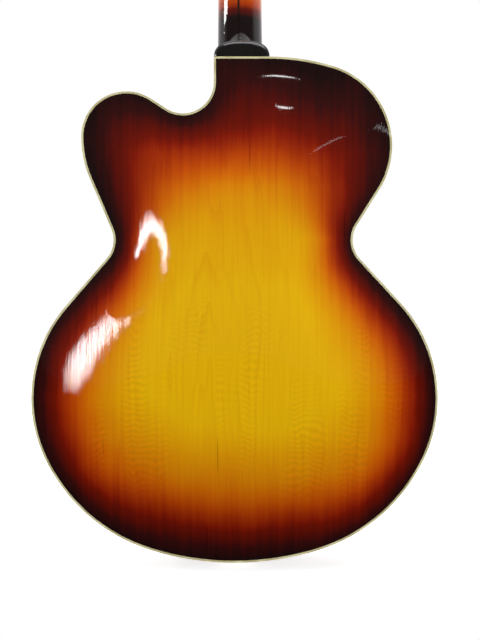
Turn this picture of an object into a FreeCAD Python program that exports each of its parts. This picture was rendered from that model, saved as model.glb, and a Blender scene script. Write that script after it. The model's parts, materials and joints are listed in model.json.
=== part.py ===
"""Archtop guitar with a rounded cutaway, as separate pieces.

The guitar stands upright: +Z runs from the tail to the headstock, the back faces -Y, the top
faces +Y and +X is the bass side. The origin is the seat of the end pin, on the centre line of
the tail and half way through the depth of the sides.
"""
import FreeCAD, Part
import Sketcher
import math
import os
from types import SimpleNamespace

Vector = FreeCAD.Vector
Rotation = FreeCAD.Rotation
Placement = FreeCAD.Placement

SIZES = {
    # Outline of the sound box
    "body_length": 538.0,
    "lower_bout_half": 216.0,
    "waist_half_bass": 125.5,
    "waist_half_treble": 128.5,
    "waist_radius": 30.0,
    "upper_bout_half": 167.5,
    "shoulder_rise": 6.5,
    "shoulder_start": 36.0,
    "horn_half": 163.0,
    "horn_tip_radius": 48.0,
    "horn_drop": 37.0,
    "cutaway_wall": 22.0,
    "cutaway_bay_drop": 60.5,
    # Sound box shell
    "rim_depth": 86.0,
    "plate_thickness": 5.5,
    "back_arch": 17.0,
    "top_arch": 18.0,
    "side_thickness": 2.4,
    "binding_width": 2.2,
    "purfling_width": 0.9,
    "purfling_depth": 1.5,
    "lining_width": 7.0,
    "lining_height": 16.0,
    "neck_block_length": 60.0,
    "tail_block_half": 36.0,
    "tail_block_length": 30.0,
    "tone_bar_width": 7.0,
    "tone_bar_height": 12.0,
    "tone_bar_low": 130.0,
    "tone_bar_high": 410.0,
    "tone_bar_spread_low": 52.0,
    "tone_bar_spread_high": 40.0,
    "glue_gap": 0.1,
    # Sound holes
    "hole_middle": 256.0,
    "hole_half_length": 72.0,
    "hole_spread_high": 76.0,
    "hole_spread_low": 136.0,
    "hole_slot_half": 4.5,
    "hole_eye_high_radius": 7.5,
    "hole_eye_low_radius": 9.5,
    # Neck
    "scale_length": 648.0,
    "fretboard_rise": 14.0,
    "nut_width": 43.0,
    "board_end_width": 56.0,
    "board_length": 450.0,
    "board_thickness": 6.0,
    "board_radius": 305.0,
    "board_binding": 1.5,
    "neck_depth_joint": 24.0,
    "neck_depth_nut": 21.0,
    "neck_depth_head": 15.0,
    "tongue_length": 62.0,
    "tongue_half": 23.0,
    "tongue_depth": 7.0,
    "tenon_half": 14.0,
    "tenon_length": 12.0,
    "strip_half": 1.25,
    "heel_bass": 37.0,
    "heel_out": 18.0,
    "heel_cap_thickness": 3.0,
    "heel_cap_round": 0.9,
    "fret_width": 2.4,
    "fret_height": 1.1,
    "marker_depth": 1.2,
    "marker_gap": 9.0,
    "nut_length": 5.0,
    "rod_radius": 2.4,
    "rod_depth": 9.5,
    "rod_start": 6.0,
    "rod_nut_flats_half": 3.5,
    "rod_nut_length": 10.0,
    "rod_nut_grip": 6.0,
    "rod_nut_bore": 7.5,
    "rod_nut_start": 7.0,
    "rod_pocket_half": 5.5,
    "rod_pocket_length": 28.0,
    "rod_cover_half": 12.0,
    "rod_cover_length": 44.0,
    "rod_cover_start": 2.0,
    "rod_cover_thickness": 1.6,
    # Headstock
    "headstock_length": 186.0,
    "headstock_thickness": 15.0,
    "headstock_flare": 26.0,
    "headstock_low_half": 30.0,
    "headstock_top_half": 39.0,
    "headstock_crown": 11.0,
    "veneer_thickness": 1.5,
    # Tuning machines
    "tuner_first": 44.0,
    "tuner_spacing": 44.0,
    "tuner_edge": 10.0,
    "tuner_post_radius": 3.0,
    "tuner_waist_radius": 2.4,
    "tuner_post_rise": 12.0,
    "tuner_waist_low": 3.0,
    "tuner_waist_high": 9.0,
    "tuner_post_seat": 9.0,
    "tuner_hole_radius": 0.9,
    "bushing_flange_radius": 5.2,
    "bushing_sleeve_radius": 4.2,
    "bushing_flange_height": 2.0,
    "bushing_sleeve_length": 10.0,
    "housing_half": 7.5,
    "housing_below": 15.0,
    "housing_above": 9.0,
    "housing_depth": 11.0,
    "housing_round": 2.5,
    "worm_offset": 7.5,
    "worm_depth": 5.5,
    "shaft_radius": 2.2,
    "shaft_start": 2.0,
    "button_start": 15.0,
    "button_length": 14.0,
    "button_half_width": 9.0,
    "button_half_thickness": 3.6,
    "button_round": 2.4,
    "running_clearance": 0.05,
    # Strings
    "nut_spread": 36.0,
    "bridge_spread": 52.0,
    "tail_spread": 50.0,
    "string_height_nut": 8.0,
    "string_height_bridge": 11.6,
    "string_height_post": 7.0,
    "string_gap": 0.05,
    "string_1_radius": 0.15,
    "string_2_radius": 0.21,
    "string_3_radius": 0.31,
    "string_4_radius": 0.41,
    "string_5_radius": 0.54,
    "string_6_radius": 0.66,
    "string_ball_radius": 2.0,
    # Bridge
    "bridge_base_half": 74.0,
    "bridge_base_low_half": 20.0,
    "bridge_base_width": 12.0,
    "bridge_base_height": 10.0,
    "bridge_foot_height": 5.0,
    "bridge_arch_gap": 2.0,
    "bridge_post_spread": 37.0,
    "bridge_post_radius": 2.0,
    "bridge_post_seat": 6.0,
    "bridge_post_reach": 8.0,
    "bridge_post_spare": 3.0,
    "thumbwheel_radius": 9.5,
    "thumbwheel_thickness": 3.0,
    "thumbwheel_lift": 2.0,
    "thumbwheel_notch": 0.7,
    "saddle_half": 58.0,
    "saddle_width": 9.0,
    "seat_gap": 0.05,
    # Tail hardware
    "hinge_rise": 7.0,
    "hinge_inset": 6.0,
    "hinge_radius": 3.0,
    "hinge_half": 15.0,
    "hinge_pin_radius": 1.5,
    "hinge_side_gap": 0.2,
    "lug_thickness": 4.0,
    "lug_lift": 0.3,
    "bracket_thickness": 1.6,
    "bracket_drop": 28.0,
    "bracket_screw_spread": 12.0,
    "bracket_screw_level": 22.0,
    "bracket_screw_radius": 3.2,
    "bracket_screw_height": 1.8,
    "bracket_screw_shank": 1.4,
    "bracket_screw_length": 14.0,
    "crossbar_half": 44.0,
    "crossbar_level": 104.0,
    "crossbar_rise": 29.0,
    "crossbar_width": 13.0,
    "crossbar_thickness": 8.0,
    "crossbar_round": 2.5,
    "tail_arm_radius": 2.4,
    "tail_arm_low": 11.0,
    "tail_arm_high": 38.0,
    "end_pin_radius": 3.4,
    "end_pin_depth": 24.0,
    "end_pin_collar": 6.0,
    "end_pin_neck": 4.2,
    "end_pin_head": 6.8,
    "end_pin_length": 10.5,
    # Pickguard
    "guard_top": 62.0,
    "guard_low": 238.0,
    "guard_width_low": 48.0,
    "guard_width_high": 22.0,
    "guard_thickness": 2.4,
    "guard_lift": 1.0,
    "guard_rod_radius": 2.2,
    "guard_rod_overlap": 14.0,
    "guard_rod_drop": 32.0,
    # One overrun for every cut that has to pass clear through its piece
    "overrun": 40.0,
}

ANGLES = {
    "neck_pitch": 4.0,
    "headstock_angle": 15.0,
    "tail_turn": 47.58,
    "bout_turn": 25.1,
}

FRET_COUNT = 20
BODY_FRET = 14
MARKED_FRETS = (1, 3, 5, 7, 9, 12, 15, 17)
MARKER_WIDTH_SHARE = 0.62
STRING_COUNT = 6
LOWER_LEVEL_SHARE = 0.32528
WAIST_LEVEL_SHARE = 0.63755
TAIL_CORNER_SHARE = 0.7999
UPPER_SLACK_SHARE = 1.0678
UPPER_REACH_SHARE = 0.9
HORN_SLACK_SHARE = 1.08314
BAY_SLACK_SHARE = 1.02598
STRING_WRAPS = 5.0
STRING_BEND_SHARE = 2.0
STRING_WRAP_SHARE = 1.2
QUARTER_TURN = 90.0
WHEEL_NOTCHES = 24
HOLE_STEPS = 24
HOLE_SPREAD_SHARES = (0.0, 0.17, 0.29, 0.5, 0.71, 0.85, 1.0)
HOLE_CURL_SHARES = (1.6, 2.2, 2.0, 1.6)
HOLE_TIP_SHARE = 0.35
NECK_OVAL_SHARE = 0.85
HEEL_TREBLE_SHARE = 0.5
HEEL_SWELL_SHARE = 2.6
HEEL_SQUARE_SHARE = 2.6
HEEL_SOFTEN_SHARE = 1.2
FLARE_BEND_SHARE = 0.56
COVER_SHARES = ((1.0, 0.0), (0.9, 0.35), (0.3, 1.0))
BUTTON_SHARES = ((0.55, 0.0), (1.0, 0.35), (1.0, 0.7), (0.6, 1.0))
SCREW_DOME_SHARE = 1.4
END_PIN_SHARES = (0.45, 0.6, 0.8, 0.92)
END_PIN_TIP_SHARE = 0.6
ARCH_COLUMNS = 45
ARCH_ROWS = 55
ARCH_DEGREE = 3
ARCH_STEPS_PER_ARC = 48
HEEL_POINTS = 11
HEEL_STATIONS = 9
CAP_ROUND_STEPS = 3

document = FreeCAD.newDocument("archtop_guitar")
sheet = document.addObject("Spreadsheet::Sheet", "Sizes")
driving = {**SIZES, **ANGLES}
for row, (alias, value) in enumerate(driving.items(), start=1):
    sheet.set("A%d" % row, alias)
    sheet.set("B%d" % row, str(value))
    sheet.setAlias("B%d" % row, alias)
document.recompute()
size = SimpleNamespace(**{alias: float(sheet.get(alias)) for alias in driving})
string_radii = [getattr(size, "string_%d_radius" % string) for string in range(1, STRING_COUNT + 1)]

nodes = {}


def keep(label, item):
    """Register a finished sub-part under its node name."""
    item.Label = label
    nodes[label] = item
    return item


def feature(label, shape, placement=None):
    """Sub-part whose shape comes from curves or surfaces that no sketch can hold."""
    item = document.addObject("Part::Feature", label)
    item.Shape = shape
    if placement is not None:
        item.Placement = placement
    return keep(label, item)


def plane(body, role):
    """Origin plane of a body, by its role."""
    for item in body.Origin.OriginFeatures:
        if item.Role == role:
            return item
    raise ValueError(role)


def number(item, expression):
    """Value of an expression of the sheet."""
    value = item.evalExpression(expression)
    return float(getattr(value, "Value", value))


def bind_point(sketch, geometry, position, across, along):
    """Tie one sketch point to a pair of expressions."""
    axes = (("DistanceX", -2, across), ("DistanceY", -1, along))
    for kind, axis, expression in axes:
        value = number(sketch, expression)
        if abs(value) < 1e-9:
            sketch.addConstraint(Sketcher.Constraint("PointOnObject", geometry, position, axis))
        else:
            index = sketch.addConstraint(
                Sketcher.Constraint(kind, -1, 1, geometry, position, value)
            )
            name = "%s_%d_%d" % (kind, geometry, position)
            sketch.renameConstraint(index, name)
            sketch.setExpression("Constraints." + name, expression)


def new_sketch(body, name, role):
    """Empty sketch on one of the body's own origin planes."""
    sketch = body.newObject("Sketcher::SketchObject", name)
    sketch.AttachmentSupport = (plane(body, role), [""])
    sketch.MapMode = "FlatFace"
    return sketch


def draw_polygon(sketch, corners):
    """Closed run of straight lines through corners given as expressions."""
    points = []
    for across, along in corners:
        points.append(Vector(number(sketch, across), number(sketch, along), 0))
    first = sketch.GeometryCount
    count = len(points)
    for index in range(count):
        sketch.addGeometry(Part.LineSegment(points[index], points[(index + 1) % count]), False)
    for index in range(count):
        after = first + (index + 1) % count
        sketch.addConstraint(Sketcher.Constraint("Coincident", first + index, 2, after, 1))
    for index, (across, along) in enumerate(corners):
        bind_point(sketch, first + index, 1, across, along)


def draw_circle(sketch, across, along, radius):
    """Circle with its centre and radius given as expressions."""
    centre = Vector(number(sketch, across), number(sketch, along), 0)
    circle = Part.Circle(centre, Vector(0, 0, 1), number(sketch, radius))
    geometry = sketch.addGeometry(circle, False)
    bind_point(sketch, geometry, 3, across, along)
    index = sketch.addConstraint(Sketcher.Constraint("Radius", geometry, circle.Radius))
    name = "Radius_%d" % geometry
    sketch.renameConstraint(index, name)
    sketch.setExpression("Constraints." + name, radius)


def mirrored_corners(half, start, length, shares):
    """Corners of a piece alike on both sides, as shares of its half width and its length."""
    right = []
    for across, along in shares:
        right.append(("%s * %g" % (half, across), "%s + %s * %g" % (start, length, along)))
    left = [("-" + across, along) for across, along in reversed(right)]
    return tuple(right + left)


def turned(label, corners):
    """Piece turned about its own Z axis; corners are (radius, level) expressions."""
    body = document.addObject("PartDesign::Body", label)
    sketch = new_sketch(body, label + "_profile", "XZ_Plane")
    draw_polygon(sketch, corners)
    revolution = body.newObject("PartDesign::Revolution", label + "_turning")
    revolution.Profile = sketch
    revolution.ReferenceAxis = (sketch, ["V_Axis"])
    revolution.Angle = 360.0
    document.recompute()
    return body


def padded(label, role, length, corners=(), circle=None):
    """Prismatic piece padded from one origin plane by the length expression."""
    body = document.addObject("PartDesign::Body", label)
    sketch = new_sketch(body, label + "_outline", role)
    if corners:
        draw_polygon(sketch, corners)
    if circle is not None:
        draw_circle(sketch, *circle)
    pad = body.newObject("PartDesign::Pad", label + "_pad")
    pad.Profile = sketch
    pad.setExpression("Length", length)
    document.recompute()
    return body


def bore(body, name, role, circle, depth, start="0"):
    """Round pocket into the body from a plane at the start expression, whichever way cuts."""
    before = body.Shape.Volume
    sketch = new_sketch(body, name + "_circle", role)
    draw_circle(sketch, *circle)
    sketch.setExpression("AttachmentOffset.Base.z", start)
    pocket = body.newObject("PartDesign::Pocket", name)
    pocket.Profile = sketch
    pocket.setExpression("Length", depth)
    document.recompute()
    if before - body.Shape.Volume < before * 1e-6:
        pocket.Reversed = True
        document.recompute()
    if before - body.Shape.Volume < before * 1e-6:
        raise ValueError("%s cuts nothing" % name)


def round_edges(body, name, radius, chosen):
    """Fillet on the edges of the body's tip that the chosen test accepts."""
    edges = []
    for index, edge in enumerate(body.Tip.Shape.Edges, start=1):
        if chosen(edge):
            edges.append("Edge%d" % index)
    fillet = body.newObject("PartDesign::Fillet", name)
    fillet.Base = (body.Tip.BaseFeature or body.Tip, edges)
    fillet.setExpression("Radius", radius)
    document.recompute()


def group(label, items):
    """Several like solids kept in one node."""
    compound = document.addObject("Part::Compound", label)
    compound.Links = items
    document.recompute()
    return keep(label, compound)


# Outline: arcs with their centres in (X, Z), each running between two angles.
# sign is +1 where the box bulges and -1 where it is drawn in.

def arc(centre, radius, sign, start, end):
    return SimpleNamespace(centre=centre, radius=radius, sign=sign, start=start, end=end)


def towards(start, end):
    return math.atan2(end[1] - start[1], end[0] - start[0])


def crossing_angle(first, first_radius, second, second_radius, side):
    """Direction of the contact on the first circle of the line that crosses to the second."""
    reach = math.hypot(second[0] - first[0], second[1] - first[1])
    opening = math.acos(min(1.0, (first_radius + second_radius) / reach))
    return towards(first, second) + side * opening


def mirrored(arcs):
    """The same arcs on the other side of the centre line."""
    result = []
    for item in arcs:
        centre = (-item.centre[0], item.centre[1])
        result.append(
            arc(centre, item.radius, item.sign, math.pi - item.start, math.pi - item.end)
        )
    return result


def fitted_radius(edge, way, other, other_radius, slack):
    """Radius of an arc that touches the edge point and leaves a straight run to the other arc.

    The centre moves from the edge along the way as the radius grows. The slack is the distance
    of the two centres as a share of the sum of the radii.
    """
    across = edge[0] - other[0]
    along = edge[1] - other[1]
    square = way[0] ** 2 + way[1] ** 2 - slack ** 2
    linear = across * way[0] + along * way[1] - slack ** 2 * other_radius
    constant = across ** 2 + along ** 2 - (slack * other_radius) ** 2
    spread = math.sqrt(linear ** 2 - square * constant)
    return min(root for root in ((spread - linear) / square, (-spread - linear) / square) if root > 0)


waist_level = size.body_length * WAIST_LEVEL_SHARE
waist_bass = (size.waist_half_bass + size.waist_radius, waist_level)
waist_treble = (size.waist_half_treble + size.waist_radius, waist_level)
bout_level = size.body_length * LOWER_LEVEL_SHARE
tail_turn = math.radians(size.tail_turn)
flatness = (1 - math.sin(tail_turn)) / math.cos(tail_turn)
bout_radius = (bout_level - flatness * size.lower_bout_half) / (1 - flatness)
bout = (size.lower_bout_half - bout_radius, bout_level)
bout_turn = math.radians(size.bout_turn)
corner_growth = TAIL_CORNER_SHARE * (bout_level - bout_radius) / (1 - math.sin(bout_turn))
corner_radius = bout_radius + corner_growth
corner = (
    bout[0] - corner_growth * math.cos(bout_turn),
    bout_level + corner_growth * math.sin(bout_turn),
)
tail_radius = corner[0] ** 2 + corner[1] ** 2 - corner_radius ** 2
tail_radius = tail_radius / (2 * (corner[1] - corner_radius))


def tail_drop(across):
    """How far the tail has risen from its lowest point at a distance from the centre line."""
    return tail_radius - math.sqrt(tail_radius ** 2 - across ** 2)


def tail_arcs():
    """From the middle of the tail to the widest part of the lower bout, bass side."""
    tail = (0.0, tail_radius)
    leave_tail = towards(tail, corner)
    return [
        arc(tail, tail_radius, 1, -math.pi / 2, leave_tail),
        arc(corner, corner_radius, 1, leave_tail, -bout_turn),
        arc(bout, bout_radius, 1, -bout_turn, 0.0),
    ]


def waist_arcs(waist, upper, upper_radius):
    """Lower bout, waist and start of the upper bout, bass side."""
    leave = crossing_angle(bout, bout_radius, waist, size.waist_radius, -1)
    arrive = crossing_angle(upper, upper_radius, waist, size.waist_radius, 1)
    return [
        arc(bout, bout_radius, 1, 0.0, leave),
        arc(waist, size.waist_radius, -1, leave + math.pi, arrive + math.pi),
        arc(upper, upper_radius, 1, arrive, 0.0),
    ]


def bass_arcs():
    corner = (size.upper_bout_half, size.body_length - size.shoulder_rise)
    radius = fitted_radius(corner, (-1, -1), waist_bass, size.waist_radius, UPPER_SLACK_SHARE)
    radius = min(radius, UPPER_REACH_SHARE * (size.upper_bout_half - size.shoulder_start))
    upper = (corner[0] - radius, corner[1] - radius)
    across = upper[0] - size.shoulder_start
    below = size.body_length - upper[1]
    shoulder_radius = across ** 2 + below ** 2 - radius ** 2
    shoulder_radius = shoulder_radius / (2 * size.shoulder_rise)
    shoulder = (size.shoulder_start, size.body_length - shoulder_radius)
    leave = towards(shoulder, upper)
    return (
        tail_arcs()
        + waist_arcs(waist_bass, upper, radius)
        + [
            arc(upper, radius, 1, 0.0, leave),
            arc(shoulder, shoulder_radius, 1, leave, math.pi / 2),
        ]
    )


def treble_arcs():
    horn_level = size.body_length - size.horn_drop - size.horn_tip_radius
    radius = fitted_radius(
        (size.horn_half, horn_level), (-1, 0), waist_treble, size.waist_radius, HORN_SLACK_SHARE
    )
    side = (size.horn_half - radius, horn_level)
    tip = (size.horn_half - size.horn_tip_radius, horn_level)
    corner = (size.cutaway_wall, size.body_length - size.cutaway_bay_drop)
    bay_radius = fitted_radius(corner, (1, 1), tip, size.horn_tip_radius, BAY_SLACK_SHARE)
    bay = (corner[0] + bay_radius, corner[1] + bay_radius)
    leave = crossing_angle(tip, size.horn_tip_radius, bay, bay_radius, -1)
    arcs = (
        tail_arcs()
        + waist_arcs(waist_treble, side, radius)
        + [
            arc(tip, size.horn_tip_radius, 1, 0.0, leave),
            arc(bay, bay_radius, -1, leave + math.pi, math.pi),
        ]
    )
    return mirrored(arcs)


def arc_point(item, inset, angle, level):
    radius = item.radius - item.sign * inset
    return Vector(
        item.centre[0] + radius * math.cos(angle),
        level,
        item.centre[1] + radius * math.sin(angle),
    )


def corner_point(inset, level):
    """Corner of the box where the cutaway wall meets the neck end."""
    return Vector(inset - size.cutaway_wall, level, size.body_length - inset)


def chain_edges(arcs, inset, level):
    """Edges of one half of the outline, from the tail to the corner at the neck."""
    edges = []
    last = None
    for item in arcs:
        start = arc_point(item, inset, item.start, level)
        end = arc_point(item, inset, item.end, level)
        middle = arc_point(item, inset, (item.start + item.end) / 2, level)
        if last is not None and last.distanceToPoint(start) > 1e-6:
            edges.append(Part.makeLine(last, start))
        if start.distanceToPoint(end) > 1e-6:
            edges.append(Part.Arc(start, middle, end).toShape())
            last = end
    edges.append(Part.makeLine(last, corner_point(inset, level)))
    return edges


BASS = bass_arcs()
TREBLE = treble_arcs()


def outline_wire(inset, level):
    edges = chain_edges(BASS, inset, level) + chain_edges(TREBLE, inset, level)
    return Part.Wire(Part.__sortEdges__(edges))


def outline_prism(inset, low, high):
    return Part.Face(outline_wire(inset, low)).extrude(Vector(0, high - low, 0))


def outline_ring(outer, inner, low, high):
    """Band that follows the whole outline between two insets."""
    return outline_prism(outer, low, high).cut(outline_prism(inner, low, high))


def half_band(arcs, outer, inner, low, high):
    """Band that follows one half of the outline, from the tail to the neck corner."""
    outside = chain_edges(arcs, outer, low)
    inside = chain_edges(arcs, inner, low)
    ends = [
        Part.makeLine(Vector(0, low, outer), Vector(0, low, inner)),
        Part.makeLine(corner_point(outer, low), corner_point(inner, low)),
    ]
    wire = Part.Wire(Part.__sortEdges__(outside + inside + ends))
    return Part.Face(wire).extrude(Vector(0, high - low, 0))


# Arching: a smooth distance from the outline, raised to a plate that leaves the edge flat
# (the recurve), climbs, and flattens again over the middle.

def outline_samples():
    points = []
    for item in BASS + TREBLE:
        steps = ARCH_STEPS_PER_ARC
        for step in range(steps):
            angle = item.start + (item.end - item.start) * (step + 0.5) / steps
            weight = abs(item.end - item.start) * item.radius / steps
            spot = arc_point(item, 0.0, angle, 0.0)
            points.append((spot.x, spot.z, weight))
    for arcs in (BASS, TREBLE):
        stretches = []
        for before, after in zip(arcs, arcs[1:]):
            stretches.append(
                (arc_point(before, 0, before.end, 0), arc_point(after, 0, after.start, 0))
            )
        stretches.append((arc_point(arcs[-1], 0, arcs[-1].end, 0), corner_point(0, 0)))
        for start, end in stretches:
            length = start.distanceToPoint(end)
            if length > 1e-6:
                for step in range(ARCH_STEPS_PER_ARC):
                    spot = start + (end - start) * ((step + 0.5) / ARCH_STEPS_PER_ARC)
                    points.append((spot.x, spot.z, length / ARCH_STEPS_PER_ARC))
    return points


def soft_distance(samples, across, along):
    """Distance from the outline that stays smooth over the whole plate."""
    total = 0.0
    for x, z, weight in samples:
        square = (x - across) ** 2 + (z - along) ** 2
        total += weight / (square * math.sqrt(square) + 1e-9)
    return math.sqrt(2.0 / total)


def recurve(share):
    share = max(0.0, min(1.0, share))
    return share * share * (3.0 - 2.0 * share)


def arch_grid():
    """Arching height as a share of the full arch on a grid that covers the outline."""
    face = Part.Face(outline_wire(0.0, 0.0))
    margin = size.plate_thickness
    box = face.BoundBox
    width = box.XLength + 2 * margin
    length = box.ZLength + 2 * margin
    samples = outline_samples()
    grid = []
    highest = 0.0
    for row in range(ARCH_ROWS):
        along = box.ZMin - margin + length * row / (ARCH_ROWS - 1)
        line = []
        for column in range(ARCH_COLUMNS):
            across = box.XMin - margin + width * column / (ARCH_COLUMNS - 1)
            distance = 0.0
            if face.isInside(Vector(across, 0, along), 1e-6, True):
                distance = soft_distance(samples, across, along)
            highest = max(highest, distance)
            line.append((across, along, distance))
        grid.append(line)
    return [[(x, z, recurve(d / highest)) for x, z, d in line] for line in grid]


ARCH = arch_grid()


def knot_counts(poles):
    """How often each knot of a cubic curve with these poles counts: fully at both ends."""
    inner = poles - ARCH_DEGREE - 1
    return [ARCH_DEGREE + 1] + [1] * inner + [ARCH_DEGREE + 1]


def arch_face(level, rise):
    """Arched surface over the outline, which rests on the level and never dips below it."""
    poles = [[Vector(x, level + rise * share, z) for x, z, share in line] for line in ARCH]
    rows = knot_counts(ARCH_ROWS)
    columns = knot_counts(ARCH_COLUMNS)
    surface = Part.BSplineSurface()
    surface.buildFromPolesMultsKnots(
        poles,
        rows,
        columns,
        list(range(len(rows))),
        list(range(len(columns))),
        False,
        False,
        ARCH_DEGREE,
        ARCH_DEGREE,
    )
    return surface.toShape()


half_depth = size.rim_depth / 2
side_level = half_depth - size.plate_thickness

back_face = arch_face(-half_depth, -size.back_arch)
top_face = arch_face(half_depth, size.top_arch)


def arched_plate(surface, outward):
    """Plate of even thickness under the arched surface, inside the binding."""
    slab = surface.extrude(Vector(0, -outward * size.plate_thickness, 0))
    beyond = outward * (half_depth + max(size.back_arch, size.top_arch) + size.overrun)
    floor = outward * (half_depth - size.purfling_depth)
    plate = slab.common(outline_prism(size.binding_width, min(0.0, beyond), max(0.0, beyond)))
    channel = outline_ring(
        0.0,
        size.binding_width + size.purfling_width,
        min(floor, beyond),
        max(floor, beyond),
    )
    return plate.cut(channel)


def sound_hole(side):
    """Prism of one f-shaped hole: a slanting slot that curls into a round eye at each end."""
    high_curl = size.hole_eye_high_radius
    low_curl = size.hole_eye_low_radius
    slant = size.hole_spread_low - size.hole_spread_high
    high_eye, high_turn, low_turn, low_eye = HOLE_CURL_SHARES
    levels = (
        size.hole_half_length - high_eye * high_curl,
        size.hole_half_length,
        size.hole_half_length - high_turn * high_curl,
        0.0,
        low_turn * low_curl - size.hole_half_length,
        -size.hole_half_length,
        low_eye * low_curl - size.hole_half_length,
    )
    spine = []
    for share, level in zip(HOLE_SPREAD_SHARES, levels):
        across = size.hole_spread_high + share * slant
        spine.append(Vector(side * across, 0, size.hole_middle + level))
    curve = Part.BSplineCurve()
    curve.interpolate(spine)
    left = []
    right = []
    for step in range(HOLE_STEPS + 1):
        share = step / HOLE_STEPS
        place = curve.FirstParameter + share * (curve.LastParameter - curve.FirstParameter)
        spot = curve.value(place)
        along = curve.tangent(place)[0]
        normal = Vector(-along.z, 0, along.x)
        swell = HOLE_TIP_SHARE + (1 - HOLE_TIP_SHARE) * math.sqrt(math.sin(math.pi * share))
        half = size.hole_slot_half * swell
        left.append(spot + normal * half)
        right.append(spot - normal * half)
    edge_left = Part.BSplineCurve()
    edge_left.interpolate(left)
    edge_right = Part.BSplineCurve()
    edge_right.interpolate(right)
    wire = Part.Wire(
        [
            edge_left.toShape(),
            Part.makeLine(left[-1], right[-1]),
            edge_right.toShape(),
            Part.makeLine(right[0], left[0]),
        ]
    )
    reach = Vector(0, half_depth + size.top_arch + size.overrun, 0)
    slot = Part.Face(wire).extrude(reach)
    eyes = []
    for spot, radius in ((spine[0], high_curl), (spine[-1], low_curl)):
        eyes.append(Part.makeCylinder(radius, reach.y, spot, Vector(0, 1, 0)))
    return slot.fuse(eyes)


top_plate = arched_plate(top_face, 1)
for side in (1, -1):
    top_plate = top_plate.cut(sound_hole(side))
feature("back_plate", arched_plate(back_face, -1))
feature("top_plate", top_plate)

for label, outward in (("back", -1), ("top", 1)):
    low = min(outward * half_depth, outward * side_level)
    feature(
        label + "_binding",
        outline_ring(0.0, size.binding_width, low, low + size.plate_thickness),
    )
    low = min(outward * half_depth, outward * (half_depth - size.purfling_depth))
    feature(
        label + "_purfling",
        outline_ring(
            size.binding_width,
            size.binding_width + size.purfling_width,
            low,
            low + size.purfling_depth,
        ),
    )

# Blocks, sides and linings. The end pin and the heel tenon pass through them.

pin_hole = Part.makeCylinder(
    size.end_pin_radius,
    size.end_pin_depth + size.overrun,
    Vector(0, 0, -size.overrun),
    Vector(0, 0, 1),
)
inner_end = size.body_length - size.side_thickness
tenon = Part.makeBox(
    2 * size.tenon_half,
    side_level + half_depth / 2,
    size.tenon_length + size.side_thickness,
    Vector(-size.tenon_half, -half_depth / 2, inner_end - size.tenon_length),
)
block_wall = size.cutaway_wall - size.side_thickness
neck_block = Part.makeBox(
    block_wall + size.shoulder_start,
    2 * side_level,
    size.neck_block_length,
    Vector(-block_wall, -side_level, inner_end - size.neck_block_length),
)
tail_block = outline_prism(size.side_thickness, -side_level, side_level).common(
    Part.makeBox(
        2 * size.tail_block_half,
        2 * side_level,
        size.tail_block_length,
        Vector(-size.tail_block_half, -side_level, 0),
    )
)
feature("neck_block", neck_block.cut(tenon))
screw_spots = []
for across, level in ((-1, 1), (1, 1), (0, -1)):
    screw_spots.append(
        (across * size.bracket_screw_spread, level * size.bracket_screw_level)
    )
screw_shanks = []
for across, level in screw_spots:
    outside = size.bracket_thickness + size.bracket_screw_height / 2
    screw_shanks.append(
        Part.makeCylinder(
            size.bracket_screw_shank,
            size.bracket_screw_length + outside,
            Vector(across, level, tail_drop(across) - outside),
            Vector(0, 0, 1),
        )
    )
feature("tail_block", tail_block.cut(pin_hole).cut(screw_shanks))
for label, arcs in (("side_bass", BASS), ("side_treble", TREBLE)):
    band = half_band(arcs, 0.0, size.side_thickness, -side_level, side_level)
    feature(label, band.cut(pin_hole).cut(screw_shanks).cut(tenon))
for label, outward in (("back_lining", -1), ("top_lining", 1)):
    low = min(outward * side_level, outward * (side_level - size.lining_height))
    band = outline_ring(
        size.side_thickness,
        size.side_thickness + size.lining_width,
        low,
        low + size.lining_height,
    )
    feature(label, band.cut(neck_block).cut(tail_block))


def tone_bar(side):
    """Bar under the top that follows the arch on the inside."""
    corners = []
    for half, spread, level in (
        (-1, size.tone_bar_spread_low, size.tone_bar_low),
        (1, size.tone_bar_spread_low, size.tone_bar_low),
        (1, size.tone_bar_spread_high, size.tone_bar_high),
        (-1, size.tone_bar_spread_high, size.tone_bar_high),
    ):
        corners.append(Vector(side * spread + half * size.tone_bar_width / 2, 0, level))
    prism = Part.Face(Part.makePolygon(corners + corners[:1])).extrude(
        Vector(0, half_depth + size.top_arch + size.overrun, 0)
    )
    inside = top_face.copy()
    inside.translate(Vector(0, -size.plate_thickness - size.glue_gap, 0))
    return prism.common(inside.extrude(Vector(0, -size.tone_bar_height, 0)))


feature("tone_bars", Part.makeCompound([tone_bar(1), tone_bar(-1)]))

# Neck frame: X across, Y up from the underside of the fretboard, Z towards the nut.

pitch = math.radians(size.neck_pitch)
joint = Vector(0, half_depth + size.fretboard_rise, size.body_length)
neck_frame = Placement(joint, Rotation(Vector(1, 0, 0), size.neck_pitch))


def fret_distance(fret):
    """Distance of a fret from the nut."""
    return size.scale_length * (1 - 2 ** (-fret / 12))


nut_line = fret_distance(BODY_FRET)
board_end = nut_line - size.board_length
bridge_line = nut_line - size.scale_length


def board_half(along):
    """Half the width of the fretboard at a distance along the neck."""
    share = (nut_line - along) / size.board_length
    return size.nut_width / 2 + share * (size.board_end_width - size.nut_width) / 2


def board_prism(inset, low, high, start, end):
    """Tapered slice of the fretboard, narrower by the inset on both sides."""
    corners = []
    for sign, along in ((-1, start), (1, start), (1, end), (-1, end)):
        corners.append(Vector(sign * (board_half(along) - inset), low, along))
    return Part.Face(Part.makePolygon(corners + corners[:1])).extrude(Vector(0, high - low, 0))


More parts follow.
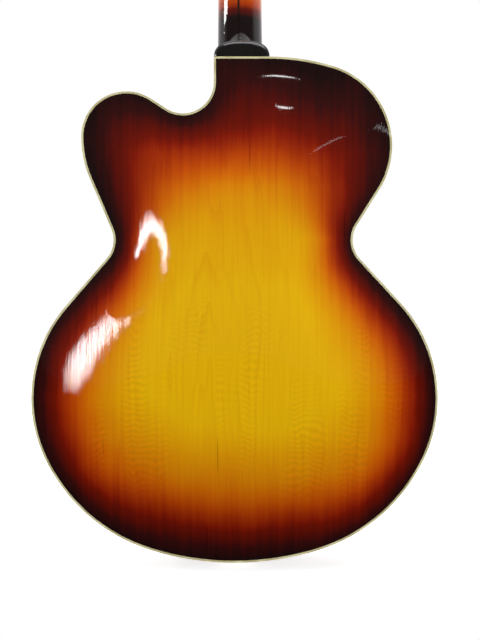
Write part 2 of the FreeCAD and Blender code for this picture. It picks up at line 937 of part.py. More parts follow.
def oval_section(half, depth, along):
    """Half oval under the fretboard."""
    left = Vector(-half, 0, along)
    right = Vector(half, 0, along)
    oval = Part.BSplineCurve()
    points = []
    for step in range(HEEL_POINTS):
        angle = math.pi * step / (HEEL_POINTS - 1)
        points.append(
            Vector(half * math.cos(angle), -depth * abs(math.sin(angle)) ** NECK_OVAL_SHARE, along)
        )
    oval.interpolate(points)
    return Part.Wire([oval.toShape(), Part.makeLine(left, right)])


head_start = nut_line + size.nut_length
shaft = Part.makeLoft(
    [
        oval_section(board_half(0.0), size.neck_depth_joint, 0.0),
        oval_section(
            board_half(nut_line - 2 * size.headstock_flare),
            size.neck_depth_nut,
            nut_line - 2 * size.headstock_flare,
        ),
        oval_section(size.nut_width / 2, size.neck_depth_head, head_start),
    ],
    True,
)
tongue = Part.makeBox(
    2 * size.tongue_half,
    size.tongue_depth,
    size.tongue_length,
    Vector(-size.tongue_half, -size.tongue_depth, -size.tongue_length),
)


# Heel: plan sections that grow from the rounded cap into the underside of the neck.

heel_bottom = size.heel_cap_thickness - half_depth
neck_underside = joint.y - size.neck_depth_joint * math.cos(pitch)


def heel_section(level, inset=0.0):
    """Plan section of the heel at a level through its depth, drawn in by the inset."""
    share = (level - heel_bottom) / (neck_underside - heel_bottom)
    share = max(0.0, share)
    wall_cap = size.cutaway_wall
    neck_half = board_half(0.0)
    fade = min(1.0, share)
    bass = size.heel_bass + (neck_half - size.heel_bass) * fade
    treble = wall_cap + (neck_half - wall_cap) * fade * HEEL_TREBLE_SHARE
    out = size.heel_out * (1 + HEEL_SWELL_SHARE * share ** 4) - inset
    power = HEEL_SQUARE_SHARE - HEEL_SOFTEN_SHARE * fade
    centre = (bass - treble) / 2
    half = (bass + treble) / 2 - inset
    points = []
    for step in range(HEEL_POINTS):
        angle = math.pi * step / (HEEL_POINTS - 1)
        cosine = math.cos(angle)
        across = math.copysign(abs(cosine) ** (2 / power), cosine)
        along = abs(math.sin(angle)) ** (2 / power)
        if step in (0, HEEL_POINTS - 1):
            along = 0.0
        points.append(Vector(centre + half * across, level, size.body_length + out * along))
    curve = Part.BSplineCurve()
    curve.interpolate(points)
    return Part.Wire([curve.toShape(), Part.makeLine(points[-1], points[0])])


heel_top = neck_underside + size.neck_depth_joint / 4
stations = []
for step in range(HEEL_STATIONS):
    share = step / (HEEL_STATIONS - 1)
    stations.append(heel_section(heel_bottom + (heel_top - heel_bottom) * share))
heel = Part.makeLoft(stations, True)
heel_core = Part.makeBox(
    2 * size.tongue_half,
    joint.y - heel_top,
    size.heel_out,
    Vector(-size.tongue_half, heel_top - joint.y, 0),
)

# Headstock frame: starts behind the nut, leaning back from the neck.

head_frame = neck_frame.multiply(
    Placement(Vector(0, 0, head_start), Rotation(Vector(1, 0, 0), size.headstock_angle))
)


def head_half(along):
    """Half the width of the headstock above its flare."""
    straight = size.headstock_length - size.headstock_crown - size.headstock_flare
    share = (along - size.headstock_flare) / straight
    return size.headstock_low_half + share * (size.headstock_top_half - size.headstock_low_half)


def head_prism(low, high):
    """Headstock outline: flare behind the nut, straight sides and one bowed top edge."""
    nut_half = size.nut_width / 2
    low_half = size.headstock_low_half
    flare = size.headstock_flare
    shoulder = size.headstock_length - size.headstock_crown
    bend = (nut_half + low_half) / 2 - (low_half - nut_half) / 6
    bend_level = flare * FLARE_BEND_SHARE
    edges = [
        Part.Arc(
            Vector(nut_half, low, 0), Vector(bend, low, bend_level), Vector(low_half, low, flare)
        ).toShape(),
        Part.makeLine(Vector(low_half, low, flare), Vector(size.headstock_top_half, low, shoulder)),
        Part.Arc(
            Vector(size.headstock_top_half, low, shoulder),
            Vector(0, low, size.headstock_length),
            Vector(-size.headstock_top_half, low, shoulder),
        ).toShape(),
        Part.makeLine(Vector(-size.headstock_top_half, low, shoulder), Vector(-low_half, low, flare)),
        Part.Arc(
            Vector(-low_half, low, flare), Vector(-bend, low, bend_level), Vector(-nut_half, low, 0)
        ).toShape(),
        Part.makeLine(Vector(-nut_half, low, 0), Vector(nut_half, low, 0)),
    ]
    return Part.Face(Part.Wire(edges)).extrude(Vector(0, high - low, 0))


tuner_spots = []
for side in (1, -1):
    for place in range(3):
        along = size.tuner_first + place * size.tuner_spacing
        tuner_spots.append((side, side * (head_half(along) - size.tuner_edge), along))


def in_frame(shape, frame):
    """Copy of a shape moved from a local frame to the guitar's frame."""
    copy = shape.copy()
    copy.Placement = frame.multiply(copy.Placement)
    return copy


rod_pocket = Part.makeBox(
    2 * size.rod_pocket_half,
    size.rod_pocket_half + size.overrun,
    size.rod_pocket_length,
    Vector(
        -size.rod_pocket_half,
        -size.rod_depth - size.rod_pocket_half,
        head_start,
    ),
)
rod_channel = Part.makeCylinder(
    size.rod_radius + size.glue_gap,
    head_start - size.rod_start + size.rod_nut_start,
    Vector(0, -size.rod_depth, size.rod_start),
    Vector(0, 0, 1),
)
rod_filler = Part.makeBox(
    2 * size.rod_radius,
    size.rod_depth - size.rod_radius - size.glue_gap,
    head_start - size.rod_start,
    Vector(-size.rod_radius, size.rod_radius + size.glue_gap - size.rod_depth, size.rod_start),
)
filler_slot = Part.makeBox(
    2 * size.rod_radius,
    size.rod_depth,
    head_start - size.rod_start,
    Vector(-size.rod_radius, -size.rod_depth, size.rod_start),
)
post_holes = []
for side, across, along in tuner_spots:
    post_holes.append(
        Part.makeCylinder(
            size.bushing_sleeve_radius,
            size.headstock_thickness + 2 * size.overrun,
            Vector(across, -size.headstock_thickness - size.overrun, along),
            Vector(0, 1, 0),
        )
    )
pocket_tool = in_frame(rod_pocket, neck_frame)
channel_tool = in_frame(rod_channel.fuse(filler_slot), neck_frame)
hole_tools = [in_frame(tool, head_frame) for tool in post_holes]

neck_pieces = [
    in_frame(tongue, neck_frame),
    heel,
    in_frame(heel_core, neck_frame),
    tenon,
    in_frame(head_prism(-size.headstock_thickness, 0.0), head_frame),
]
neck = in_frame(shaft, neck_frame).fuse(neck_pieces).removeSplitter()
box_end = Part.makeBox(
    2 * size.lower_bout_half,
    size.rim_depth,
    size.tongue_length,
    Vector(-size.lower_bout_half, -half_depth, size.body_length - size.tongue_length),
)
neck = neck.cut(box_end.cut(tenon)).cut([channel_tool, pocket_tool] + hole_tools)
reach = Vector(size.lower_bout_half, size.scale_length, size.body_length + size.scale_length)
strip_box = Part.makeBox(
    2 * size.strip_half, reach.y, reach.z, Vector(-size.strip_half, -reach.y / 2, 0)
)
bass_box = Part.makeBox(reach.x, reach.y, reach.z, Vector(size.strip_half, -reach.y / 2, 0))
treble_box = Part.makeBox(
    reach.x, reach.y, reach.z, Vector(-size.strip_half - reach.x, -reach.y / 2, 0)
)
feature("neck_bass_half", neck.common(bass_box))
feature("neck_centre_strip", neck.common(strip_box))
feature("neck_treble_half", neck.common(treble_box))
feature("truss_rod_filler", rod_filler, neck_frame)

cap_sections = [heel_section(heel_bottom)]
for step in range(CAP_ROUND_STEPS + 1):
    angle = math.pi / 2 * step / CAP_ROUND_STEPS
    level = size.heel_cap_round * (1 - math.sin(angle)) - half_depth
    cap_sections.append(heel_section(level, size.heel_cap_round * (1 - math.cos(angle))))
feature("heel_cap", Part.makeLoft(cap_sections, True, True))

# Fretboard, its binding, markers, frets and nut, all in the neck frame.

board_cylinder = Part.makeCylinder(
    size.board_radius,
    size.board_length + 2 * size.overrun,
    Vector(0, size.board_thickness - size.board_radius, board_end - size.overrun),
    Vector(0, 0, 1),
)
whole_board = board_prism(0.0, 0.0, size.board_thickness, board_end, nut_line)
whole_board = whole_board.common(board_cylinder)
board_core = board_prism(
    size.board_binding, 0.0, size.board_thickness, board_end + size.board_binding, nut_line
).common(board_cylinder)
marker_tools = []
for fret in MARKED_FRETS:
    high = nut_line - fret_distance(fret - 1) - size.marker_gap
    low = nut_line - fret_distance(fret) + size.marker_gap
    if high - low < size.marker_gap:
        middle = (high + low) / 2
        high = middle + size.marker_gap / 2
        low = middle - size.marker_gap / 2
    half = board_half((high + low) / 2) * MARKER_WIDTH_SHARE
    marker_tools.append(
        Part.makeBox(
            2 * half,
            size.marker_depth + size.overrun,
            high - low,
            Vector(-half, size.board_thickness - size.marker_depth, low),
        )
    )
markers = [board_core.common(tool) for tool in marker_tools]
feature("fretboard", board_core.cut(marker_tools), neck_frame)
feature("fretboard_binding", whole_board.cut(board_core), neck_frame)
feature("fret_markers", Part.makeCompound(markers), neck_frame)


def fret_wire(fret):
    """Rounded crown bent to the radius of the fretboard."""
    along = nut_line - fret_distance(fret)
    half = size.fret_width / 2
    base = size.board_thickness
    crown = Part.Wire(
        [
            Part.Arc(
                Vector(0, base, along - half),
                Vector(0, base + size.fret_height, along),
                Vector(0, base, along + half),
            ).toShape(),
            Part.makeLine(Vector(0, base, along + half), Vector(0, base, along - half)),
        ]
    )
    axis = Vector(0, size.board_thickness - size.board_radius, 0)
    sweep = math.degrees(math.asin((board_half(along) - size.board_binding) / size.board_radius))
    face = Part.Face(crown)
    face.rotate(axis, Vector(0, 0, 1), -sweep)
    return face.revolve(axis, Vector(0, 0, 1), 2 * sweep)


feature(
    "frets",
    Part.makeCompound([fret_wire(fret) for fret in range(1, FRET_COUNT + 1)]),
    neck_frame,
)

# Strings: tailpiece, saddle, nut and tuning post, with their kinks at the saddle and the nut.


def crown_drop(across):
    """How far the fretboard's radius falls away from the centre line."""
    return size.board_radius - math.sqrt(size.board_radius ** 2 - across ** 2)


crossbar_y = half_depth + size.crossbar_rise
string_paths = []
for index, radius in enumerate(string_radii):
    share = index / (STRING_COUNT - 1) - 0.5
    nut_x = share * size.nut_spread
    bridge_x = share * size.bridge_spread
    at_nut = neck_frame.multVec(
        Vector(nut_x, size.string_height_nut - crown_drop(nut_x), nut_line)
    )
    at_bridge = neck_frame.multVec(
        Vector(bridge_x, size.string_height_bridge - crown_drop(bridge_x), bridge_line)
    )
    at_tail = Vector(
        share * size.tail_spread,
        crossbar_y,
        size.crossbar_level - size.crossbar_width / 2 - size.string_ball_radius,
    )
    row = STRING_COUNT // 2
    place = STRING_COUNT - 1 - index if index >= row else row + index
    side, post_x, post_z = tuner_spots[place]
    level = size.veneer_thickness + size.string_height_post
    offset = size.tuner_waist_radius + size.string_gap + radius * STRING_WRAP_SHARE
    at_post = head_frame.multVec(Vector(post_x - side * offset, level, post_z))
    centre = head_frame.multVec(Vector(post_x, level, post_z))
    string_paths.append(
        SimpleNamespace(
            radius=radius, tail=at_tail, bridge=at_bridge, nut=at_nut, post=at_post, centre=centre
        )
    )
post_axis = head_frame.Rotation.multVec(Vector(0, 1, 0))


def rod_between(start, end, radius, turn=0.0):
    """Rod between two points, turned on its axis by an angle."""
    rod = Part.makeCylinder(radius, start.distanceToPoint(end), start, end - start)
    rod.rotate(start, end - start, turn)
    return rod


def bend_way(before, at, after):
    """Direction half way between the two runs of string that meet at a bend."""
    return (at - before).normalize() + (after - at).normalize()


def past(start, end, radius):
    """Point a little past the end of a straight run of string."""
    return end + (end - start).normalize() * (radius * STRING_BEND_SHARE)


def beyond(spot, way):
    """Cutting tool for everything past a bend."""
    return Part.makeCylinder(size.overrun, size.overrun, spot, way)


def string_solid(path):
    radius = path.radius
    wraps = radius * STRING_WRAPS
    inner = size.tuner_waist_radius + size.string_gap
    low = path.centre - post_axis * (wraps / 2)
    ring = Part.makeCylinder(inner + 2 * radius * STRING_WRAP_SHARE, wraps, low, post_axis)
    ring = ring.cut(Part.makeCylinder(inner, wraps, low, post_axis))
    at_bridge = bend_way(path.tail, path.bridge, path.nut)
    at_nut = bend_way(path.bridge, path.nut, path.post)
    tail_run = rod_between(path.tail, past(path.tail, path.bridge, radius), radius)
    tail_run = tail_run.cut(beyond(path.bridge, at_bridge))
    middle_run = rod_between(
        past(path.nut, path.bridge, radius),
        past(path.bridge, path.nut, radius),
        radius,
        QUARTER_TURN,
    )
    middle_run = middle_run.cut([beyond(path.bridge, at_bridge * -1), beyond(path.nut, at_nut)])
    head_run = rod_between(past(path.post, path.nut, radius), path.post, radius)
    head_run = head_run.cut(beyond(path.nut, at_nut * -1))
    ball = Part.makeSphere(size.string_ball_radius, path.tail, path.bridge - path.tail)
    return tail_run.fuse([ball, middle_run, head_run, ring])


def open_groove(start, end, radius, up):
    """Groove for one straight run of string, open on the side that faces up."""
    low = up * -radius
    high = up * size.overrun
    aside = Vector(radius, 0, 0)
    corners = [start + low, end + low, end + high, start + high]
    corners = [corner - aside for corner in corners]
    return Part.Face(Part.makePolygon(corners + corners[:1])).extrude(aside * 2)


def string_grooves(before, at, after, up):
    """Grooves that clear every string where it bends over the nut or the saddle."""
    tools = []
    for path in string_paths:
        radius = path.radius + size.string_gap
        spots = [getattr(path, name) for name in (before, at, after)]
        tools.append(open_groove(spots[0], spots[1], radius, up))
        tools.append(open_groove(spots[1], spots[2], radius, up))
    return tools


for index, path in enumerate(string_paths, start=1):
    feature("string_%d" % index, string_solid(path))

nut_top = size.string_height_nut
nut_cylinder = Part.makeCylinder(
    size.board_radius,
    size.nut_length,
    Vector(0, nut_top - size.board_radius, nut_line),
    Vector(0, 0, 1),
)
nut_block = Part.makeBox(
    size.nut_width, nut_top, size.nut_length, Vector(-size.nut_width / 2, 0, nut_line)
).common(nut_cylinder)
neck_up = neck_frame.Rotation.multVec(Vector(0, 1, 0))
nut_grooves = string_grooves("bridge", "nut", "post", neck_up)
feature("nut", in_frame(nut_block, neck_frame).cut(nut_grooves))

# Headstock veneer, truss rod, its nut and its cover.

veneer = in_frame(head_prism(0.0, size.veneer_thickness), head_frame)
feature("headstock_veneer", veneer.cut([pocket_tool] + hole_tools))

rod = document.addObject("Part::Cylinder", "truss_rod")
rod.setExpression("Radius", "Sizes.rod_radius")
rod.Height = head_start - size.rod_start + size.rod_nut_start + size.rod_nut_grip
rod.Placement = neck_frame.multiply(
    Placement(Vector(0, -size.rod_depth, size.rod_start), Rotation())
)
keep("truss_rod", rod)

flat = "Sizes.rod_nut_flats_half"
edge = "Sizes.rod_nut_flats_half * tan(30 deg)"
rod_nut = padded(
    "truss_rod_nut",
    "XY_Plane",
    "Sizes.rod_nut_length",
    corners=(
        (flat, edge),
        ("0", "2 * " + edge),
        ("-" + flat, edge),
        ("-" + flat, "-" + edge),
        ("0", "-2 * " + edge),
        (flat, "-" + edge),
    ),
)
bore(
    rod_nut,
    "rod_nut_thread",
    "XY_Plane",
    ("0", "0", "Sizes.rod_radius + Sizes.running_clearance"),
    "Sizes.rod_nut_bore",
)
rod_nut.Placement = neck_frame.multiply(
    Placement(Vector(0, -size.rod_depth, head_start + size.rod_nut_start), Rotation())
)
keep("truss_rod_nut", rod_nut)

cover = padded(
    "truss_rod_cover",
    "XZ_Plane",
    "Sizes.rod_cover_thickness",
    corners=mirrored_corners("Sizes.rod_cover_half", "0", "Sizes.rod_cover_length", COVER_SHARES),
)
cover.Placement = head_frame.multiply(
    Placement(
        Vector(0, size.veneer_thickness + size.rod_cover_thickness, size.rod_cover_start), Rotation()
    )
)
keep("truss_rod_cover", cover)

# Tuning machines. A turned piece has its axis along its own Z.

out_of_head = Rotation(Vector(1, 0, 0), -90)
housings = []
bushings = []
for index, (side, across, along) in enumerate(tuner_spots, start=1):
    post = turned(
        "tuner_post_%d" % index,
        (
            ("0", "0"),
            ("Sizes.tuner_post_radius", "0"),
            (
                "Sizes.tuner_post_radius",
                "Sizes.tuner_post_seat + Sizes.headstock_thickness + Sizes.veneer_thickness"
                " + Sizes.tuner_waist_low",
            ),
            (
                "Sizes.tuner_waist_radius",
                "Sizes.tuner_post_seat + Sizes.headstock_thickness + Sizes.veneer_thickness"
                " + Sizes.tuner_waist_low + Sizes.tuner_post_radius - Sizes.tuner_waist_radius",
            ),
            (
                "Sizes.tuner_waist_radius",
                "Sizes.tuner_post_seat + Sizes.headstock_thickness + Sizes.veneer_thickness"
                " + Sizes.tuner_waist_high",
            ),
            (
                "Sizes.tuner_post_radius",
                "Sizes.tuner_post_seat + Sizes.headstock_thickness + Sizes.veneer_thickness"
                " + Sizes.tuner_waist_high + Sizes.tuner_post_radius - Sizes.tuner_waist_radius",
            ),
            (
                "Sizes.tuner_post_radius",
                "Sizes.tuner_post_seat + Sizes.headstock_thickness + Sizes.veneer_thickness"
                " + Sizes.tuner_post_rise",
            ),
            (
                "0",
                "Sizes.tuner_post_seat + Sizes.headstock_thickness + Sizes.veneer_thickness"
                " + Sizes.tuner_post_rise",
            ),
        ),
    )
    post_seat = -size.headstock_thickness - size.tuner_post_seat
    post.Placement = head_frame.multiply(Placement(Vector(across, post_seat, along), out_of_head))
    keep("tuner_post_%d" % index, post)

    bushing = turned(
        "bushing_%d" % index,
        (
            ("Sizes.tuner_post_radius + Sizes.running_clearance", "-Sizes.bushing_sleeve_length"),
            ("Sizes.bushing_sleeve_radius", "-Sizes.bushing_sleeve_length"),
            ("Sizes.bushing_sleeve_radius", "0"),
            ("Sizes.bushing_flange_radius", "0"),
            ("Sizes.bushing_flange_radius", "Sizes.bushing_flange_height / 2"),
            (
                "(Sizes.bushing_flange_radius + Sizes.bushing_sleeve_radius) / 2",
                "Sizes.bushing_flange_height",
            ),
            (
                "Sizes.tuner_post_radius + Sizes.running_clearance",
                "Sizes.bushing_flange_height",
            ),
        ),
    )
    bushing.Placement = head_frame.multiply(
        Placement(Vector(across, size.veneer_thickness, along), out_of_head)
    )
    bushings.append(bushing)

    housing = padded(
        "housing_%d" % index,
        "XZ_Plane",
        "Sizes.housing_depth",
        corners=(
            ("-Sizes.housing_half", "-Sizes.housing_below"),
            ("Sizes.housing_half", "-Sizes.housing_below"),
            ("Sizes.housing_half", "Sizes.housing_above"),
            ("-Sizes.housing_half", "Sizes.housing_above"),
        ),
    )
    round_edges(
        housing,
        "housing_round_%d" % index,
        "Sizes.housing_round",
        lambda edge: edge.BoundBox.YLength > 1e-3,
    )
    bore(
        housing,
        "post_bore_%d" % index,
        "XZ_Plane",
        ("0", "0", "Sizes.tuner_post_radius + Sizes.running_clearance"),
        "Sizes.tuner_post_seat + Sizes.running_clearance",
    )
    bore(
        housing,
        "shaft_bore_%d" % index,
        "YZ_Plane",
        ("-Sizes.worm_depth", "-Sizes.worm_offset", "Sizes.shaft_radius + Sizes.running_clearance"),
        "Sizes.housing_half - Sizes.shaft_start + Sizes.running_clearance",
        "Sizes.housing_half" if side > 0 else "-Sizes.housing_half",
    )
    housing.Placement = head_frame.multiply(
        Placement(Vector(across, -size.headstock_thickness, along), Rotation())
    )
    housings.append(housing)

    button = turned(
        "tuner_button_%d" % index,
        (
            ("0", "0"),
            ("Sizes.shaft_radius", "0"),
            ("Sizes.shaft_radius", "Sizes.button_start + Sizes.button_length / 2"),
            ("0", "Sizes.button_start + Sizes.button_length / 2"),
        ),
    )
    outline = new_sketch(button, "button_outline_%d" % index, "XZ_Plane")
    draw_polygon(
        outline,
        mirrored_corners(
            "Sizes.button_half_width", "Sizes.button_start", "Sizes.button_length", BUTTON_SHARES
        ),
    )
    pad = button.newObject("PartDesign::Pad", "button_pad_%d" % index)
    pad.Profile = outline
    pad.setExpression("Length", "2 * Sizes.button_half_thickness")
    pad.Midplane = True
    document.recompute()
    button.Placement = head_frame.multiply(
        Placement(
            Vector(
                across + side * size.shaft_start,
                -size.headstock_thickness - size.worm_depth,
                along - size.worm_offset,
            ),
            Rotation(Vector(0, 1, 0), side * 90),
        )
    )
    keep("tuner_button_%d" % index, button)
group("tuner_housings", housings)
group("tuner_bushings", bushings)

# Bridge: base fitted to the arch, two threaded posts, two thumbwheels and the saddle.

saddle_point = neck_frame.multVec(Vector(0, size.string_height_bridge, bridge_line))
bridge_z = saddle_point.z
under_top = top_face.copy()
under_top.translate(Vector(0, size.seat_gap, 0))
under_top = under_top.extrude(Vector(0, -size.rim_depth, 0))
probe = Part.makeLine(
    Vector(0, 0, bridge_z), Vector(0, half_depth + size.top_arch + size.overrun, bridge_z)
)
apex = probe.distToShape(top_face)[1][0][1].y + size.seat_gap
base_top = apex + size.bridge_base_height
foot_top = apex + size.bridge_foot_height
floor = half_depth
base_half_width = size.bridge_base_width / 2
profile = [
    Vector(-size.bridge_base_half, floor, 0),
    Vector(size.bridge_base_half, floor, 0),
    Vector(size.bridge_base_half, foot_top - size.bridge_foot_height / 2, 0),
    Vector(size.bridge_post_spread + size.thumbwheel_radius, base_top, 0),
    Vector(-size.bridge_post_spread - size.thumbwheel_radius, base_top, 0),
    Vector(-size.bridge_base_half, foot_top - size.bridge_foot_height / 2, 0),
]
base = Part.Face(Part.makePolygon(profile + profile[:1])).extrude(
    Vector(0, 0, size.bridge_base_width)
)
base.translate(Vector(0, 0, bridge_z - base_half_width))
relief = Part.makeBox(
    2 * size.bridge_base_low_half,
    apex + size.bridge_arch_gap - floor,
    size.bridge_base_width + 2 * size.overrun,
    Vector(-size.bridge_base_low_half, floor, bridge_z - base_half_width - size.overrun),
)
base = base.cut(under_top).cut(relief)
wheel_low = base_top + size.thumbwheel_lift
wheel_high = wheel_low + size.thumbwheel_thickness
saddle_low = wheel_high
post_low = base_top - size.bridge_post_seat
post_high = saddle_low + size.bridge_post_reach
spreads = (size.bridge_post_spread, -size.bridge_post_spread)
seats = []
for across in spreads:
    seats.append(
        Part.makeCylinder(
            size.bridge_post_radius,
            size.bridge_post_seat + size.overrun,
            Vector(across, post_low, bridge_z),
            Vector(0, 1, 0),
        )
    )
feature("bridge_base", base.cut(seats))

along_y = Rotation(Vector(1, 0, 0), -90)
posts = []
for name, across in zip(("bass", "treble"), spreads):
    stud = document.addObject("Part::Cylinder", "bridge_post_" + name)
    stud.setExpression("Radius", "Sizes.bridge_post_radius")
    stud.setExpression(
        "Height",
        "Sizes.bridge_post_seat + Sizes.thumbwheel_lift + Sizes.thumbwheel_thickness"
        " + Sizes.bridge_post_reach",
    )
    stud.Placement = Placement(Vector(across, post_low, bridge_z), along_y)
    posts.append(stud)

    wheel = padded(
        "thumbwheel_" + name,
        "XY_Plane",
        "Sizes.thumbwheel_thickness",
        circle=("0", "0", "Sizes.thumbwheel_radius"),
    )
    bore(
        wheel,
        "wheel_bore_" + name,
        "XY_Plane",
        ("0", "0", "Sizes.bridge_post_radius + Sizes.running_clearance"),
        "Sizes.thumbwheel_thickness",
    )
    bore(
        wheel,
        "wheel_notch_" + name,
        "XY_Plane",
        ("Sizes.thumbwheel_radius", "0", "Sizes.thumbwheel_notch"),
        "Sizes.thumbwheel_thickness",
    )
    pattern = wheel.newObject("PartDesign::PolarPattern", "wheel_knurl_" + name)
    pattern.Originals = [wheel.getObject("wheel_notch_" + name)]
    pattern.Axis = (wheel.getObject("thumbwheel_" + name + "_outline"), ["N_Axis"])
    pattern.Angle = 360.0
    pattern.Occurrences = WHEEL_NOTCHES
    wheel.Tip = pattern
    document.recompute()
    wheel.Placement = Placement(Vector(across, wheel_low, bridge_z), along_y)
    keep("thumbwheel_" + name, wheel)
group("bridge_posts", posts)

saddle_top = saddle_point.y
saddle_arc = Part.Arc(
    Vector(size.saddle_half, saddle_top - crown_drop(size.saddle_half), 0),
    Vector(0, saddle_top, 0),
    Vector(-size.saddle_half, saddle_top - crown_drop(size.saddle_half), 0),
).toShape()
right_top = saddle_arc.Vertexes[0].Point
left_top = saddle_arc.Vertexes[1].Point
right_low = Vector(size.saddle_half, saddle_low, 0)
left_low = Vector(-size.saddle_half, saddle_low, 0)
saddle = Part.Face(
    Part.Wire(
        [
            saddle_arc,
            Part.makeLine(left_top, left_low),
            Part.makeLine(left_low, right_low),
            Part.makeLine(right_low, right_top),
        ]
    )
).extrude(Vector(0, 0, size.saddle_width))
saddle.translate(Vector(0, 0, bridge_z - size.saddle_width / 2))
post_bores = []
for across in spreads:
    post_bores.append(
        Part.makeCylinder(
            size.bridge_post_radius + size.running_clearance,
            saddle_top - saddle_low + size.bridge_post_spare,
            Vector(across, saddle_low, bridge_z),
            Vector(0, 1, 0),
        )
    )
saddle_grooves = string_grooves("tail", "bridge", "nut", Vector(0, 1, 0))
feature("bridge_saddle", saddle.cut(post_bores).cut(saddle_grooves))

# Tailpiece, its bracket on the tail, the hinge pin, the bracket screws and the end pin.

hinge_y = half_depth + size.hinge_rise
hinge_z = size.hinge_inset
x_axis = Vector(1, 0, 0)
barrel = Part.makeCylinder(
    size.hinge_radius, 2 * size.hinge_half, Vector(-size.hinge_half, hinge_y, hinge_z), x_axis
)
lug_end = size.hinge_half + size.hinge_side_gap + size.lug_thickness
pin_bore = Part.makeCylinder(
    size.hinge_pin_radius,
    2 * (lug_end + size.overrun),
    Vector(-lug_end - size.overrun, hinge_y, hinge_z),
    x_axis,
)
crossbar = Part.makeBox(
    2 * size.crossbar_half,
    size.crossbar_thickness,
    size.crossbar_width,
    Vector(
        -size.crossbar_half,
        crossbar_y - size.crossbar_thickness / 2,
        size.crossbar_level - size.crossbar_width / 2,
    ),
)
crossbar = crossbar.makeFillet(size.crossbar_round, crossbar.Edges)
arms = []
for sign in (1, -1):
    arms.append(
        rod_between(
            Vector(sign * size.tail_arm_low, hinge_y, hinge_z),
            Vector(sign * size.tail_arm_high, crossbar_y, size.crossbar_level),
            size.tail_arm_radius,
        )
    )
string_ways = []
for path in string_paths:
    string_ways.append(rod_between(path.tail, path.bridge, path.radius + size.string_gap))
tailpiece = crossbar.fuse(arms + [barrel]).cut(pin_bore).cut(string_ways)
ball_seats = []
for path in string_paths:
    ball_seats.append(Part.makeSphere(size.string_ball_radius + size.string_gap, path.tail))
feature("tailpiece", tailpiece.cut(ball_seats))

lugs = []
for sign in (1, -1):
    start = min(sign * lug_end, sign * (lug_end - size.lug_thickness))
    lugs.append(
        Part.makeBox(
            size.lug_thickness,
            hinge_y + size.hinge_radius - half_depth - size.lug_lift,
            hinge_z + size.hinge_radius + size.bracket_thickness,
            Vector(start, half_depth + size.lug_lift, -size.bracket_thickness),
        )
    )
tail_centre = Vector(0, -size.bracket_drop, tail_radius)
strap_height = size.bracket_drop + hinge_y + size.hinge_radius
strap = Part.makeCylinder(
    tail_radius + size.bracket_thickness, strap_height, tail_centre, Vector(0, 1, 0)
).cut(Part.makeCylinder(tail_radius, strap_height, tail_centre, Vector(0, 1, 0)))
strap = strap.common(
    Part.makeBox(
        2 * lug_end,
        strap_height,
        size.tail_block_length,
        Vector(-lug_end, -size.bracket_drop, -size.tail_block_length / 2),
    )
)
bracket = strap.fuse(lugs).cut(pin_bore).cut(pin_hole).cut(screw_shanks)
feature("tailpiece_bracket", bracket)

hinge_pin = document.addObject("Part::Cylinder", "tailpiece_hinge_pin")
hinge_pin.setExpression("Radius", "Sizes.hinge_pin_radius")
hinge_pin.setExpression(
    "Height", "2 * (Sizes.hinge_half + Sizes.hinge_side_gap + Sizes.lug_thickness)"
)
hinge_pin.Placement = Placement(Vector(-lug_end, hinge_y, hinge_z), Rotation(Vector(0, 1, 0), 90))
keep("tailpiece_hinge_pin", hinge_pin)

screws = []
dome = size.bracket_screw_radius * SCREW_DOME_SHARE
strap_radius = tail_radius + size.bracket_thickness
for (across, level), shank in zip(screw_spots, screw_shanks):
    lean = math.asin(across / tail_radius)
    head = Part.makeSphere(dome, Vector(0, 0, 0))
    head = head.common(
        Part.makeBox(2 * dome, 2 * dome, size.bracket_screw_height, Vector(-dome, -dome, -dome))
    )
    head.translate(Vector(0, 0, dome - size.bracket_screw_height))
    seat = Vector(
        strap_radius * math.sin(lean), level, tail_radius - strap_radius * math.cos(lean)
    )
    tilt = Rotation(Vector(0, 1, 0), -math.degrees(lean))
    head.Placement = Placement(seat, tilt).multiply(head.Placement)
    screws.append(shank.fuse(head))
feature("tailpiece_screws", Part.makeCompound(screws))

neck_low, neck_high, head_low, head_high = [
    "Sizes.end_pin_length * %g" % share for share in END_PIN_SHARES
]
end_pin = turned(
    "end_pin",
    (
        ("0", "-Sizes.end_pin_depth"),
        ("Sizes.end_pin_radius", "-Sizes.end_pin_depth"),
        ("Sizes.end_pin_radius", "Sizes.bracket_thickness"),
        ("Sizes.end_pin_collar", "Sizes.bracket_thickness"),
        ("Sizes.end_pin_collar", "Sizes.bracket_thickness * 2"),
        ("Sizes.end_pin_neck", neck_low),
        ("Sizes.end_pin_neck", neck_high),
        ("Sizes.end_pin_head", head_low),
        ("Sizes.end_pin_head", head_high),
        ("Sizes.end_pin_head * %g" % END_PIN_TIP_SHARE, "Sizes.end_pin_length"),
        ("0", "Sizes.end_pin_length"),
    ),
)
end_pin.Placement = Placement(Vector(0, 0, 0), Rotation(Vector(1, 0, 0), 180))
keep("end_pin", end_pin)

# Pickguard beside the fretboard, carried by a bent rod that hooks on the treble side.

